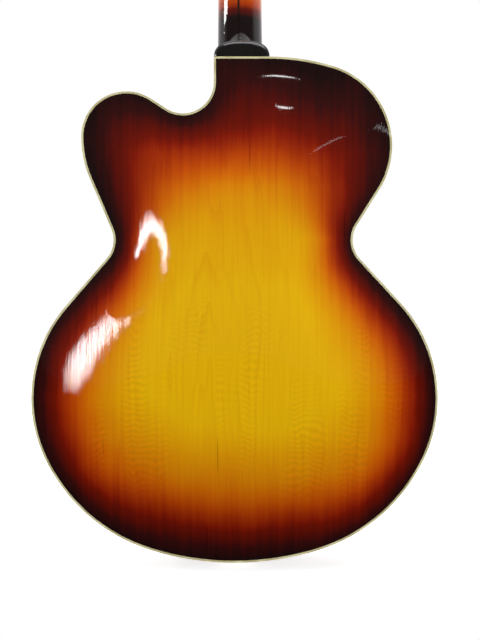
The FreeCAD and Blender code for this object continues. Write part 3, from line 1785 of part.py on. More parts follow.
guard_low = size.guard_lift
start = -size.guard_top
finish = -size.guard_low
inner_start = Vector(-board_half(start), guard_low, start)
inner_finish = Vector(-board_half(finish), guard_low, finish)
outer_finish = inner_finish + Vector(-size.guard_width_low, 0, size.guard_width_low / 2)
outer_start = inner_start + Vector(-size.guard_width_high, 0, -size.guard_width_high)
bow = size.guard_width_high
low_bow = (inner_finish + outer_finish) / 2 + Vector(-bow / 4, 0, -bow / 2)
outer_bow = (outer_finish + outer_start) / 2 + Vector(bow / 5, 0, 0)
high_bow = (outer_start + inner_start) / 2 + Vector(-bow / 8, 0, bow / 8)
guard_wire = Part.Wire(
    [
        Part.makeLine(inner_start, inner_finish),
        Part.Arc(inner_finish, low_bow, outer_finish).toShape(),
        Part.Arc(outer_finish, outer_bow, outer_start).toShape(),
        Part.Arc(outer_start, high_bow, inner_start).toShape(),
    ]
)
guard = Part.Face(guard_wire).extrude(Vector(0, size.guard_thickness, 0))
feature("pickguard", guard, neck_frame)

rod_z = waist_level
rod_s = (rod_z - joint.z) / math.cos(pitch)
rod_y = joint.y - math.sin(pitch) * rod_s + size.guard_lift - size.guard_rod_radius
hook_x = -size.waist_half_treble - size.guard_rod_radius
guard_edge = -board_half(rod_s) - size.guard_width_low / 2
elbow = Vector(hook_x, rod_y, rod_z)
hook_end = Vector(hook_x, half_depth - size.guard_rod_drop, rod_z)
rod_pieces = [
    Part.makeSphere(size.guard_rod_radius, elbow),
    rod_between(elbow, hook_end, size.guard_rod_radius),
]
bracket_rod = rod_between(Vector(guard_edge, rod_y, rod_z), elbow, size.guard_rod_radius)
bracket_rod = bracket_rod.fuse(rod_pieces)
under_guard = in_frame(
    Part.makeBox(
        2 * size.lower_bout_half,
        size.overrun,
        size.body_length,
        Vector(-size.lower_bout_half, size.guard_lift, -size.body_length),
    ),
    neck_frame,
)
feature("pickguard_bracket", bracket_rod.cut(under_guard))

# Checks before anything is written.

document.recompute()
for item in document.Objects:
    if "Invalid" in item.State or "Error" in item.State:
        raise RuntimeError("%s did not build" % item.Label)
for label, item in nodes.items():
    if item.Shape.isNull() or not item.Shape.isValid():
        raise RuntimeError("%s has no valid shape" % label)
    if not item.Shape.Solids:
        raise RuntimeError("%s has no solid" % label)

os.makedirs("parts", exist_ok=True)
for label, item in nodes.items():
    item.Shape.exportStep(os.path.join("parts", label + ".step"))

print("nodes:", len(nodes))
print("post axis:", tuple(round(v, 6) for v in post_axis))
for index, (side, across, along) in enumerate(tuner_spots, start=1):
    spot = head_frame.multVec(Vector(across, 0, along))
    worm = head_frame.multVec(
        Vector(across, -size.headstock_thickness - size.worm_depth, along - size.worm_offset)
    )
    print("tuner", index, side, tuple(round(v, 4) for v in spot), tuple(round(v, 4) for v in worm))
rod_end = neck_frame.multVec(Vector(0, -size.rod_depth, head_start + size.rod_nut_start))
print("truss rod nut:", tuple(round(v, 4) for v in rod_end))
print("bridge line Z %.4f, wheel Y %.4f, saddle Y %.4f to %.4f, apex %.3f" % (
    bridge_z, wheel_low, saddle_low, saddle_top, apex))
print("nut:", tuple(round(v, 4) for v in neck_frame.multVec(Vector(0, 0, nut_line))))
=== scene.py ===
"""Archtop guitar: the finish of every piece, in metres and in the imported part's own frame."""

import json
import math

import bmesh
import bpy
import numpy as np
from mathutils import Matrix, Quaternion, Vector
from mathutils.geometry import delaunay_2d_cdt

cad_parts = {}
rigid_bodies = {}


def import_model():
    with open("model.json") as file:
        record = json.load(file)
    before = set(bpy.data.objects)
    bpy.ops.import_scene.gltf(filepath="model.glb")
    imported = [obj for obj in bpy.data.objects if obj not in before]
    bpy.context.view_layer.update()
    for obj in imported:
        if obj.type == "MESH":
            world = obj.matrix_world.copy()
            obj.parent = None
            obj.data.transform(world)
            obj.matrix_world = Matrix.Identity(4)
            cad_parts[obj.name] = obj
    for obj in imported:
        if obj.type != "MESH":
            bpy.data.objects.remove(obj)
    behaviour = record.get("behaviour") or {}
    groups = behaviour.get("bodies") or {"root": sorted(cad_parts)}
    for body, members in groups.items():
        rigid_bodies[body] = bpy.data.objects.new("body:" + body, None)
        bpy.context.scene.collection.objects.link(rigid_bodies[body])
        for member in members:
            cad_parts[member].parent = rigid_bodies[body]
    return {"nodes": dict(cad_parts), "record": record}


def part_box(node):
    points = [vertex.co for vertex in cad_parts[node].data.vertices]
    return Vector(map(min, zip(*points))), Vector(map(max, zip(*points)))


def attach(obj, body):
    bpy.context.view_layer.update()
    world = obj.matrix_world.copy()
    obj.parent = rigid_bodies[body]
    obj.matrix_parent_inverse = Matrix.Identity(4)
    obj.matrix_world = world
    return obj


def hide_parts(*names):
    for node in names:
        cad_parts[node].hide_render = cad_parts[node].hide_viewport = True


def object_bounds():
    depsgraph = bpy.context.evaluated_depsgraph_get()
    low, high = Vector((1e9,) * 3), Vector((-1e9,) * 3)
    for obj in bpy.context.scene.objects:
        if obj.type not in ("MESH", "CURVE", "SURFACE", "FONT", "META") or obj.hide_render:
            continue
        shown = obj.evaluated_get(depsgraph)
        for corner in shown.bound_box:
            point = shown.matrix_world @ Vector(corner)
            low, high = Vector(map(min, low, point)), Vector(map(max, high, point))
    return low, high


for item in list(bpy.data.objects):
    bpy.data.objects.remove(item)

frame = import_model()
nodes = frame["nodes"]
cad_low, cad_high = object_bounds()

# Levels of the sound box, read from the frame. The back faces -Y and the top +Y.
back_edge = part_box("back_binding")[0].y
top_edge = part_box("top_binding")[1].y
plate_thickness = top_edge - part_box("side_bass")[1].y
back_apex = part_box("back_plate")[0].y
top_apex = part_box("top_plate")[1].y
body_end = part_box("back_binding")[1].z
body_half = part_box("back_binding")[1].x
nut_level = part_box("nut")[0].z

# Meshing of the plates.
MERGE = 1e-6
FACING_SHARE = 0.5
PLATE_STEP = 0.004
EDGE_STEP = 0.003
EDGE_CLEARANCE_SHARE = 0.6
SOFTEN = 1e-9
SLOPE_STEP = 0.0005

# Rounded rim of the heel cap.
CAP_ROUND = 0.0070
CAP_DROP = 0.0026
RIM_STEPS = 8
CAP_CREASE = math.radians(40)

# Sunburst: how wide its dark rim is at places along the body, from the tail to the neck. The bright
# middle starts some rim widths from the edge. In the lower bout the rim is wider on the cutaway
# side and narrower beside the tail, and in the bay of the cutaway it is thin.
RIM_PLACE_SHARES = (0.0, 0.22, 0.33, 0.56, 0.64, 0.74, 0.81, 0.86, 0.93, 1.0)
RIM_WIDTHS = (0.035, 0.032, 0.0240, 0.0205, 0.0170, 0.033, 0.050, 0.070, 0.103, 0.131)
RIM_LEAN_SHARE = 0.13
RIM_LEAN_END_SHARE = 0.75
TAIL_NARROWING_SHARE = 0.34
TAIL_NARROW_SHARE = 0.65
TAIL_END_SHARE = 0.36
BAY_PLACE = (-0.055, 0.49)
BAY_REACH = 0.045
BAY_NARROWING_SHARE = 0.7
BURST_SPAN = 3.5

# A veil of amber over the waist and the upper bout: the brightest that the sunburst gets there.
VEIL_PLACE_SHARES = (0.50, 0.58, 0.65, 0.70, 0.76)
VEIL_SHARES = (1.10, 0.94, 0.88, 0.86, 0.92)
VEIL_POWER = 8


# Plates: a smooth skin over the arching, with the edge and the sound holes of the solids.

def largest_region(faces):
    """Biggest group of faces that hang together by their edges."""
    left = set(faces)
    regions = []
    while left:
        stack = [left.pop()]
        region = set(stack)
        while stack:
            for edge in stack.pop().edges:
                for face in edge.link_faces:
                    if face in left:
                        left.remove(face)
                        region.add(face)
                        stack.append(face)
        regions.append(region)
    return max(regions, key=lambda region: sum(face.calc_area() for face in region))


def face_loops(node, outward):
    """Closed edge loops, as points (x, z), of the node's largest face that looks outward."""
    mesh = bmesh.new()
    mesh.from_mesh(nodes[node].data)
    bmesh.ops.remove_doubles(mesh, verts=mesh.verts, dist=MERGE)
    region = largest_region(f for f in mesh.faces if f.normal.y * outward > FACING_SHARE)
    onward = {}
    for face in [face for face in mesh.faces if face in region]:
        for loop in face.loops:
            if sum(other in region for other in loop.edge.link_faces) == 1:
                onward[loop.vert] = loop.link_loop_next.vert
    loops = []
    while onward:
        start, spot = onward.popitem()
        loop = [start]
        while spot is not start:
            loop.append(spot)
            spot = onward.pop(spot)
        loops.append(np.array([(vert.co.x, vert.co.z) for vert in loop]))
    mesh.free()
    return sorted(loops, key=len, reverse=True)


def divided(loop, step):
    """The loop with points added so that no side is longer than the step."""
    points = []
    for start, end in zip(loop, np.roll(loop, -1, axis=0)):
        parts = max(1, math.ceil(np.linalg.norm(end - start) / step))
        for part in range(parts):
            points.append(start + (end - start) * part / parts)
    return np.array(points)


def enclosed(points, loops):
    """Which points lie inside the outer loop and outside its holes."""
    inside = np.zeros(len(points), dtype=bool)
    for loop in loops:
        for (x0, z0), (x1, z1) in zip(loop, np.roll(loop, -1, axis=0)):
            if z0 != z1:
                between = (points[:, 1] > min(z0, z1)) & (points[:, 1] <= max(z0, z1))
                crossing = x0 + (points[:, 1] - z0) * (x1 - x0) / (z1 - z0)
                inside ^= between & (points[:, 0] < crossing)
    return inside


def beside(loop, gap):
    """Points beside the middle of every side of a loop, to its left."""
    ends = np.roll(loop, -1, axis=0)
    way = (ends - loop) / np.linalg.norm(ends - loop, axis=1)[:, None]
    return (loop + ends) / 2 + gap * np.stack([-way[:, 1], way[:, 0]], axis=1)


def nearest(points, others):
    """Distance of every point to the nearest of the others."""
    return np.array([np.sqrt(((others - point) ** 2).sum(axis=1).min()) for point in points])


def soft_distance(points, outline):
    """Distance from the outline that stays smooth all over, and is true by a long straight edge."""
    ends = np.roll(outline, -1, axis=0)
    middles = (outline + ends) / 2
    weights = np.linalg.norm(ends - outline, axis=1)
    total = np.zeros(len(points))
    for middle, weight in zip(middles, weights):
        square = ((points - middle) ** 2).sum(axis=1)
        total += weight / (square * np.sqrt(square) + SOFTEN)
    return np.sqrt(2 / total)


def recurve(share):
    """Rise of the arching, level at the edge and at the crown."""
    return share * share * (3 - 2 * share)


def crown_normals(points, outline, lift, outward):
    """Normals of the arching, from its rise a small step to each side."""
    slopes = []
    for step in ((SLOPE_STEP, 0), (0, SLOPE_STEP)):
        ahead = lift(soft_distance(points + step, outline))
        behind = lift(soft_distance(points - step, outline))
        slopes.append((ahead - behind) / (2 * SLOPE_STEP))
    normals = np.stack([-slopes[0], np.ones(len(points)), -slopes[1]], axis=1) * outward
    return normals / np.linalg.norm(normals, axis=1)[:, None]


def faded(along, end_share):
    """Full up to half of the end share, then smoothly down to nothing at it."""
    return recurve(np.clip(2 - 2 * along / end_share, 0, 1))


def burst_share(points, distance):
    """How far a place lies across the sunburst, from the rim at 0 to the bright middle at 1."""
    aside = points[:, 0] / body_half
    along = points[:, 1] / body_end
    lean = faded(along, RIM_LEAN_END_SHARE)
    beside_tail = np.clip(aside / TAIL_NARROW_SHARE, -1, 1) ** 2 * faded(along, TAIL_END_SHARE)
    from_bay = ((points - np.array(BAY_PLACE)) ** 2).sum(axis=1)
    bay = np.exp(from_bay / (-2 * BAY_REACH * BAY_REACH))
    width = np.interp(along, RIM_PLACE_SHARES, RIM_WIDTHS)
    width *= 1 - RIM_LEAN_SHARE * aside * lean
    width *= 1 - TAIL_NARROWING_SHARE * beside_tail
    width *= 1 - BAY_NARROWING_SHARE * bay
    share = distance / (width * BURST_SPAN)
    veil = np.interp(along, VEIL_PLACE_SHARES, VEIL_SHARES)
    return (share ** -VEIL_POWER + veil ** -VEIL_POWER) ** (-1 / VEIL_POWER)


def plate_triangles(loops):
    """Points (x, z) spread over a plate, and the triangles between them that its loops enclose."""
    border = np.concatenate(loops)
    low = border.min(axis=0)
    high = border.max(axis=0)
    columns = np.arange(low[0], high[0], PLATE_STEP)
    rows = np.arange(low[1], high[1], PLATE_STEP)
    grid = np.array([(x, z) for z in rows for x in columns])
    ring = np.concatenate([beside(loop, side * EDGE_STEP) for loop in loops for side in (1, -1)])
    ring = ring[enclosed(ring, loops)]
    ring = ring[nearest(ring, border) > EDGE_STEP * EDGE_CLEARANCE_SHARE]
    grid = grid[enclosed(grid, loops)]
    clear = nearest(grid, np.concatenate([border, ring])) > PLATE_STEP * EDGE_CLEARANCE_SHARE
    edges = []
    first = 0
    for loop in loops:
        count = len(loop)
        edges += [(first + step, first + (step + 1) % count) for step in range(count)]
        first += count
    spots = [Vector(point) for point in np.concatenate([border, ring, grid[clear]])]
    spots, _, triangles, _, _, _ = delaunay_2d_cdt(spots, edges, [], 0, MERGE)
    points = np.array(spots)
    middles = np.array([points[list(corners)].mean(axis=0) for corners in triangles])
    inside = enclosed(middles, loops)
    return points, [corners for corners, keep in zip(triangles, inside) if keep]


def finished_mesh(name, mesh):
    """Mesh data of an edited mesh, which is freed."""
    data = bpy.data.meshes.new(name)
    mesh.to_mesh(data)
    mesh.free()
    return data


def skin_for(node, name, data):
    """Object with this mesh that stands for the node and moves with the guitar."""
    skin = bpy.data.objects.new(name, data)
    bpy.context.scene.collection.objects.link(skin)
    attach(skin, "guitar")
    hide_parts(node)
    return skin


def plate_mesh(name, points, triangles, levels, normals, burst, outward):
    """Outer and inner face of a plate with a wall along each edge."""
    mesh = bmesh.new()
    burst_layer = mesh.verts.layers.float.new("burst")
    crown_layer = mesh.verts.layers.float_vector.new("crown")
    outer = []
    inner = []
    for (x, z), level, normal, share in zip(points, levels, normals, burst):
        outer.append(mesh.verts.new((x, level, z)))
        inner.append(mesh.verts.new((x, level - outward * plate_thickness, z)))
        outer[-1][crown_layer] = normal
        inner[-1][crown_layer] = -normal
        outer[-1][burst_layer] = share
        inner[-1][burst_layer] = share
    for corners in triangles:
        mesh.faces.new([outer[corner] for corner in corners]).smooth = True
        mesh.faces.new([inner[corner] for corner in reversed(corners)]).smooth = True
    below = dict(zip(outer, inner))
    for edge in [edge for edge in mesh.edges if edge.is_boundary]:
        start, end = edge.verts
        if start in below:
            mesh.faces.new((start, end, below[end], below[start]))
        edge.smooth = False
    loose = [vert for vert in mesh.verts if not vert.link_faces]
    bmesh.ops.delete(mesh, geom=loose, context="VERTS")
    bmesh.ops.recalc_face_normals(mesh, faces=mesh.faces)
    return finished_mesh(name, mesh)


def use_crown_normals(data):
    """Give each corner of a smooth face the arching's own normal, and flat faces theirs."""
    crowns = [spot.vector.copy() for spot in data.attributes["crown"].data]
    corner_normals = []
    for face in data.polygons:
        for spot in face.vertices:
            corner_normals.append(crowns[spot] if face.use_smooth else face.normal.copy())
    data.normals_split_custom_set(corner_normals)
    data.attributes.remove(data.attributes["crown"])


def plate(name, node, binding, outward, edge_level, apex_level):
    """Skin of an arched plate with a wall at each edge and an even thickness."""
    outline = divided(face_loops(binding, outward)[0], EDGE_STEP)
    loops = [divided(loop, EDGE_STEP) for loop in face_loops(node, outward)]
    points, triangles = plate_triangles(loops)
    distance = soft_distance(points, outline)
    farthest = distance.max()

    def lift(reach):
        return recurve(reach / farthest) * (apex_level - edge_level)

    levels = edge_level + lift(distance)
    normals = crown_normals(points, outline, lift, outward)
    burst = burst_share(points, distance)
    data = plate_mesh(name, points, triangles, levels, normals, burst, outward)
    use_crown_normals(data)
    return skin_for(node, name, data)


def heel_cap_skin():
    """Heel cap with a rounded rim along its curve. Its straight side stays against the body."""
    outline = face_loops("heel_cap", 1)[0]
    low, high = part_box("heel_cap")
    half = (high.x - low.x) / 2
    middle = (high.x + low.x) / 2
    depth = high.z - low.z
    rings = [(0.0, high.y)]
    steepest = math.acos(1 - CAP_DROP / CAP_ROUND)
    for step in range(RIM_STEPS + 1):
        tilt = steepest * (1 - step / RIM_STEPS)
        inset = CAP_ROUND * (math.sin(steepest) - math.sin(tilt))
        rings.append((inset, low.y + CAP_ROUND * (1 - math.cos(tilt))))
    mesh = bmesh.new()
    rows = []
    for inset, level in rings:
        row = []
        for x, z in outline:
            across = middle + (x - middle) * (1 - inset / half)
            along = low.z + (z - low.z) * (1 - inset / depth)
            row.append(mesh.verts.new((across, level, along)))
        rows.append(row)
    for row, other in zip(rows, rows[1:]):
        for index in range(len(row)):
            mesh.faces.new((row[index - 1], row[index], other[index], other[index - 1]))
    mesh.faces.new(rows[0])
    mesh.faces.new(rows[-1])
    bmesh.ops.recalc_face_normals(mesh, faces=mesh.faces)
    for face in mesh.faces:
        face.smooth = True
    for edge in mesh.edges:
        edge.smooth = edge.calc_face_angle(0.0) < CAP_CREASE
    skin = skin_for("heel_cap", "heel_cap_skin", finished_mesh("heel_cap_skin", mesh))
    return skin


cap_skin = heel_cap_skin()
back_skin = plate("back_skin", "back_plate", "back_binding", -1, back_edge, back_apex)
top_skin = plate("top_skin", "top_plate", "top_binding", 1, top_edge, top_apex)


# Materials: a Principled shader fed by grain, flame and shading made from the part's own places.

class NodeTree:
    """Short ways to add nodes to a shader tree, with the place that they start from."""

    def __init__(self, tree, space):
        self.tree = tree
        self.spot = self.node("ShaderNodeTexCoord").outputs[space]

    def node(self, kind, inputs=(), **settings):
        """New node with its settings, and each input linked or set."""
        made = self.tree.nodes.new(kind)
        for key, value in settings.items():
            setattr(made, key, value)
        for socket, value in dict(inputs).items():
            if isinstance(value, bpy.types.NodeSocket):
                self.tree.links.new(value, made.inputs[socket])
            else:
                made.inputs[socket].default_value = value
        return made

    def axes(self):
        """The place as its three coordinates."""
        parts = self.node("ShaderNodeSeparateXYZ", {"Vector": self.spot})
        return parts.outputs["X"], parts.outputs["Y"], parts.outputs["Z"]

    def rays(self):
        """Whether the camera sees the place, and whether a mirror or glass does."""
        path = self.node("ShaderNodeLightPath").outputs
        mirrored = self.work("MAXIMUM", path["Is Glossy Ray"], path["Is Transmission Ray"])
        return path["Is Camera Ray"], mirrored

    def work(self, operation, *values):
        """One step of arithmetic."""
        return self.node("ShaderNodeMath", enumerate(values), operation=operation).outputs[0]

    def ranged(self, value, low, high, start=0.0, end=1.0):
        """The value brought smoothly from one range to another."""
        made = self.node(
            "ShaderNodeMapRange",
            {0: value, 1: low, 2: high, 3: start, 4: end},
            interpolation_type="SMOOTHSTEP",
        )
        return made.outputs[0]


class Paint(NodeTree):
    """Material with a Principled shader and ways to colour it."""

    def __init__(self, name, sockets):
        self.material = bpy.data.materials.new(name)
        self.material.use_nodes = True
        super().__init__(self.material.node_tree, "Object")
        self.shader = self.tree.nodes["Principled BSDF"]
        for socket, value in sockets.items():
            self.shader.inputs[socket].default_value = value

    def noise(self, rates, detail=2.0, distortion=0.0):
        """Noise with so many waves a metre across, in depth and along."""
        place = self.node("ShaderNodeVectorMath", {0: self.spot, 1: rates}, operation="MULTIPLY")
        made = self.node(
            "ShaderNodeTexNoise",
            {
                "Vector": place.outputs["Vector"],
                "Scale": 1.0,
                "Detail": detail,
                "Distortion": distortion,
            },
        )
        return made.outputs["Fac"]

    def drift(self, rates, band, start=0.0, end=1.0, **grain):
        """Noise whose band of values is brought to a range."""
        return self.ranged(self.noise(rates, **grain), *band, start, end)

    def burst(self):
        """The place across the sunburst that the plates carry."""
        return self.node("ShaderNodeAttribute", attribute_name="burst").outputs["Fac"]

    def neck_share(self):
        """The place along the neck, from the end of the body at 0 to the nut at 1."""
        _, _, along = self.axes()
        return self.node("ShaderNodeMapRange", {0: along, 1: body_end, 2: nut_level}).outputs[0]

    def ramp(self, value, stops):
        """Colour picked along a row of stops."""
        made = self.node("ShaderNodeValToRGB", {0: value})
        points = made.color_ramp.elements
        while len(points) < len(stops):
            points.new(1.0)
        for point, (place, colour) in zip(points, stops):
            point.position = place
            point.color = colour
        return made.outputs["Color"]

    def mix(self, share, first, second, blend="MIX"):
        """Two colours mixed or multiplied by a share."""
        inputs = {0: share, 6: first, 7: second}
        return self.node("ShaderNodeMix", inputs, data_type="RGBA", blend_type=blend).outputs[2]

    def tinted(self, colour, share, tint):
        """The colour, with a tint over it where the share is 1."""
        return self.mix(share, colour, self.mix(1.0, colour, tint, "MULTIPLY"))

    def shaded(self, colour, value):
        """The colour made darker or lighter by a grey value around 1."""
        grey = self.node("ShaderNodeCombineColor", {0: value, 1: value, 2: value})
        return self.mix(1.0, colour, grey.outputs[0], "MULTIPLY")

    def feed(self, socket, value):
        """Link a value to the shader."""
        self.tree.links.new(value, self.shader.inputs[socket])

    def relief(self, height, depth, socket):
        """Bump of a real depth for the normal that the socket names."""
        bump = self.node("ShaderNodeBump", {"Height": height, "Distance": depth})
        self.feed(socket, bump.outputs["Normal"])

    def finish(self, colour):
        """The material with this colour."""
        self.feed("Base Color", colour)
        return self.material


# Display colours: the curve from their steps to linear light.
COLOUR_STEPS = 255
TOE_END_SHARE = 0.04045
TOE_SLOPE = 12.92
CURVE_START_SHARE = 0.055
CURVE_POWER = 2.4
BLACK = (0.0, 0.0, 0.0, 1.0)
WHITE = (1.0, 1.0, 1.0, 1.0)


def srgb(red, green, blue):
    """Linear colour of a display colour given in steps of 255."""
    channels = []
    for step in (red, green, blue):
        share = step / COLOUR_STEPS
        if share <= TOE_END_SHARE:
            channels.append(share / TOE_SLOPE)
        else:
            lifted = (share + CURVE_START_SHARE) / (1 + CURVE_START_SHARE)
            channels.append(lifted ** CURVE_POWER)
    return (*channels, 1.0)


# Shader sockets of the finishes.
LACQUER = {
    "Roughness": 0.5,
    "Specular IOR Level": 0.0,
    "Coat Weight": 0.5,
    "Coat Roughness": 0.03,
    "Coat IOR": 1.5,
}
NECK_LACQUER = {**LACQUER, "Coat Weight": 1.0}
GLOSS = {
    "Roughness": 0.25,
    "Specular IOR Level": 0.2,
    "Coat Weight": 0.6,
    "Coat Roughness": 0.03,
}
SATIN = {"Roughness": 0.45}
POLISHED = {"Metallic": 1.0, "Roughness": 0.2}
BRUSHED = {"Metallic": 1.0, "Roughness": 0.3}

# Bands of noise values that are spread over a range. A narrow band gives clearer patches.
WIDE_BAND = (0.2, 0.8)
MIDDLE_BAND = (0.3, 0.7)
NARROW_BAND = (0.35, 0.65)

# Sunburst of the plates, from the rim to the bright middle.
SUNBURST = (
    (0.000, srgb(26, 11, 11)),
    (0.100, srgb(50, 13, 12)),
    (0.171, srgb(82, 15, 8)),
    (0.243, srgb(102, 19, 6)),
    (0.286, srgb(124, 25, 7)),
    (0.371, srgb(152, 46, 7)),
    (0.457, srgb(178, 69, 7)),
    (0.571, srgb(198, 99, 7)),
    (0.686, srgb(206, 124, 8)),
    (0.829, srgb(213, 147, 9)),
    (1.000, srgb(219, 169, 11)),
)
GRAIN_TINT = (0.95, 0.89, 0.82, 1.0)

# Clouds and long streaks in the back's sunburst. Rates are waves a metre across, deep and along.
CLOUD_RATES = (9, 0, 7)
CLOUD_SHARE = 0.04
STREAK_RATES = (170, 0, 5)
STREAK_BEND = 0.5
STREAK_SHARE = 0.018

# Growth rings of the back. The heart of the tree lies this far to the cutaway side, and it sinks
# into the wood between two heights, so that the rings close in arches.
HEART = -0.030
RING_SPACING = 0.0095
RING_DEPTH = 0.036
RING_LOW = 0.04
RING_HIGH = 0.42
RING_WANDER_RATES = (16, 0, 6)
RING_WANDER_BAND = (0.25, 0.75)
RING_WANDER = 0.006
RING_SLIP_RATES = (45, 0, 3)
RING_SLIP = 1.8
RING_LINE_SHARE = 0.55
RING_FADE_RATES = (24, 0, 6)
RING_FADED_SHARE = 0.25

# Flame of the back: ripples across the grain that stand in columns over the lower bout.
FLAME_SPACING = 0.0066
FLAME_SLIP_RATES = (34, 0, 14)
FLAME_SLIP = 2.5
FLAME_COLUMN_RATES = (26, 0, 5)
FLAME_COLUMN_BAND = (0.46, 0.62)
FLAME_LOW_FADE = (0.04, 0.10)
FLAME_HIGH_FADE = (0.34, 0.20)
FLAME_SHARE = 0.055
FULL_TURN = 2 * math.pi

# Fine fibres and dark flecks of the back, and the grain that shows in its lacquer's surface.
FIBRE_RATES = (420, 0, 9)
FIBRE_BAND = (0.35, 0.62)
FIBRE_SHARES = (-0.025, 0.02)
FLECK_RATES = (330, 0, 13)
FLECK_BAND = (0.79, 0.85)
FLECK_SHARE = 0.35
BACK_COAT_RATES = (650, 0, 10)
BACK_COAT_DEPTH = 3e-5


def flamed_back():
    """Flamed wood under a sunburst: rings, ripples, fibres and flecks."""
    paint = Paint("flamed_back_lacquer", LACQUER)
    across, _, along = paint.axes()
    cloud = paint.drift(CLOUD_RATES, MIDDLE_BAND, -CLOUD_SHARE, CLOUD_SHARE, detail=3)
    streak = paint.drift(
        STREAK_RATES, MIDDLE_BAND, -STREAK_SHARE, STREAK_SHARE, detail=3, distortion=STREAK_BEND
    )
    share = paint.work("ADD", paint.work("ADD", paint.burst(), cloud), streak)
    colour = paint.ramp(share, SUNBURST)

    wander = paint.drift(RING_WANDER_RATES, RING_WANDER_BAND, -RING_WANDER, RING_WANDER)
    aside = paint.work("SUBTRACT", paint.work("ADD", across, wander), HEART)
    deep = paint.ranged(along, RING_LOW, RING_HIGH, 0.0, RING_DEPTH)
    squares = paint.work("ADD", paint.work("POWER", aside, 2), paint.work("POWER", deep, 2))
    rings = paint.work("DIVIDE", paint.work("SQRT", squares), RING_SPACING)
    rings = paint.work("ADD", rings, paint.drift(RING_SLIP_RATES, WIDE_BAND, 0.0, RING_SLIP))
    line = paint.ranged(paint.work("FRACT", rings), RING_LINE_SHARE, 1.0)
    fading = paint.drift(RING_FADE_RATES, NARROW_BAND, RING_FADED_SHARE, 1.0)
    colour = paint.tinted(colour, paint.work("MULTIPLY", line, fading), GRAIN_TINT)

    waves = paint.work("DIVIDE", along, FLAME_SPACING)
    waves = paint.work("ADD", waves, paint.drift(FLAME_SLIP_RATES, WIDE_BAND, 0.0, FLAME_SLIP))
    ripple = paint.work("SINE", paint.work("MULTIPLY", waves, FULL_TURN))
    column = paint.drift(FLAME_COLUMN_RATES, FLAME_COLUMN_BAND)
    low_fade = paint.ranged(along, *FLAME_LOW_FADE)
    zone = paint.work("MULTIPLY", low_fade, paint.ranged(along, *FLAME_HIGH_FADE))
    flame = paint.work("MULTIPLY", ripple, paint.work("MULTIPLY", column, zone))
    fibre = paint.drift(FIBRE_RATES, FIBRE_BAND, *FIBRE_SHARES)
    tone = paint.work("MULTIPLY", flame, FLAME_SHARE)
    tone = paint.work("ADD", tone, paint.work("ADD", fibre, 1.0))
    fleck = paint.drift(FLECK_RATES, FLECK_BAND, 0.0, FLECK_SHARE, detail=0)
    tone = paint.work("SUBTRACT", tone, fleck)
    paint.relief(paint.noise(BACK_COAT_RATES), BACK_COAT_DEPTH, "Coat Normal")
    return paint.finish(paint.shaded(colour, tone))


back_skin.data.materials.append(flamed_back())

# Straight even lines of the spruce top, with silk across them.
SPRUCE_SPACING = 0.0016
SPRUCE_SLIP_RATES = (60, 0, 2)
SPRUCE_LINE_SHARE = 0.4
SPRUCE_COAT_DEPTH = 4e-6
SILK_RATES = (90, 0, 260)
SILK_BAND = (0.4, 0.7)
SILK_TONES = (0.97, 1.04)


def spruce_top():
    """Straight-grained wood under the same sunburst."""
    paint = Paint("spruce_top_lacquer", LACQUER)
    across, _, _ = paint.axes()
    lines = paint.work("DIVIDE", across, SPRUCE_SPACING)
    lines = paint.work("ADD", lines, paint.noise(SPRUCE_SLIP_RATES))
    line = paint.ranged(paint.work("FRACT", lines), SPRUCE_LINE_SHARE, 1.0)
    colour = paint.tinted(paint.ramp(paint.burst(), SUNBURST), line, GRAIN_TINT)
    silk = paint.drift(SILK_RATES, SILK_BAND, *SILK_TONES)
    paint.relief(line, SPRUCE_COAT_DEPTH, "Coat Normal")
    return paint.finish(paint.shaded(colour, silk))


top_skin.data.materials.append(spruce_top())

# Sides: dark along both edges, with flame from edge to edge.
SIDE_BURST = ((0.0, srgb(24, 11, 10)), (0.5, srgb(62, 16, 9)), (1.0, srgb(118, 36, 11)))
SIDE_FLAME_RATES = (80, 5, 80)
SIDE_FLAME_TONES = (0.7, 1.3)
SIDE_COAT_RATES = (30, 500, 30)
SIDE_COAT_DEPTH = 6e-6


def flamed_side():
    """Flamed sides that are lighter halfway between the plates."""
    paint = Paint("flamed_side_lacquer", LACQUER)
    _, depth, _ = paint.axes()
    share = paint.ranged(paint.work("ABSOLUTE", depth), top_edge, 0.0)
    colour = paint.ramp(share, SIDE_BURST)
    flame = paint.drift(SIDE_FLAME_RATES, NARROW_BAND, *SIDE_FLAME_TONES)
    paint.relief(paint.noise(SIDE_COAT_RATES), SIDE_COAT_DEPTH, "Coat Normal")
    return paint.finish(paint.shaded(colour, flame))


# Along the neck, as shares from the end of the body to the nut: black at the heel, then amber that
# darkens again towards the headstock. The strip in its middle goes black at the heel too.
NECK_COLOURS = (
    (0.000, srgb(22, 13, 14)),
    (0.190, srgb(24, 13, 13)),
    (0.215, srgb(90, 19, 9)),
    (0.235, srgb(164, 56, 9)),
    (0.270, srgb(200, 100, 12)),
    (0.380, srgb(206, 116, 14)),
    (0.620, srgb(202, 110, 14)),
    (0.820, srgb(112, 32, 9)),
    (0.940, srgb(30, 13, 12)),
)
STRIP_COLOURS = (
    (0.190, srgb(24, 13, 13)),
    (0.215, srgb(48, 27, 18)),
    (1.000, srgb(48, 27, 18)),
)
NECK_STREAK_RATES = (260, 260, 8)
NECK_STREAK_TONES = (0.9, 1.08)
NECK_FLAME_RATES = (30, 30, 150)
NECK_FLAME_TONES = (0.92, 1.07)
NECK_COAT_RATES = (500, 500, 10)
NECK_COAT_DEPTH = 5e-6
WOOD_STREAK_RATES = (600, 600, 14)
STRIP_TONES = (0.7, 1.2)


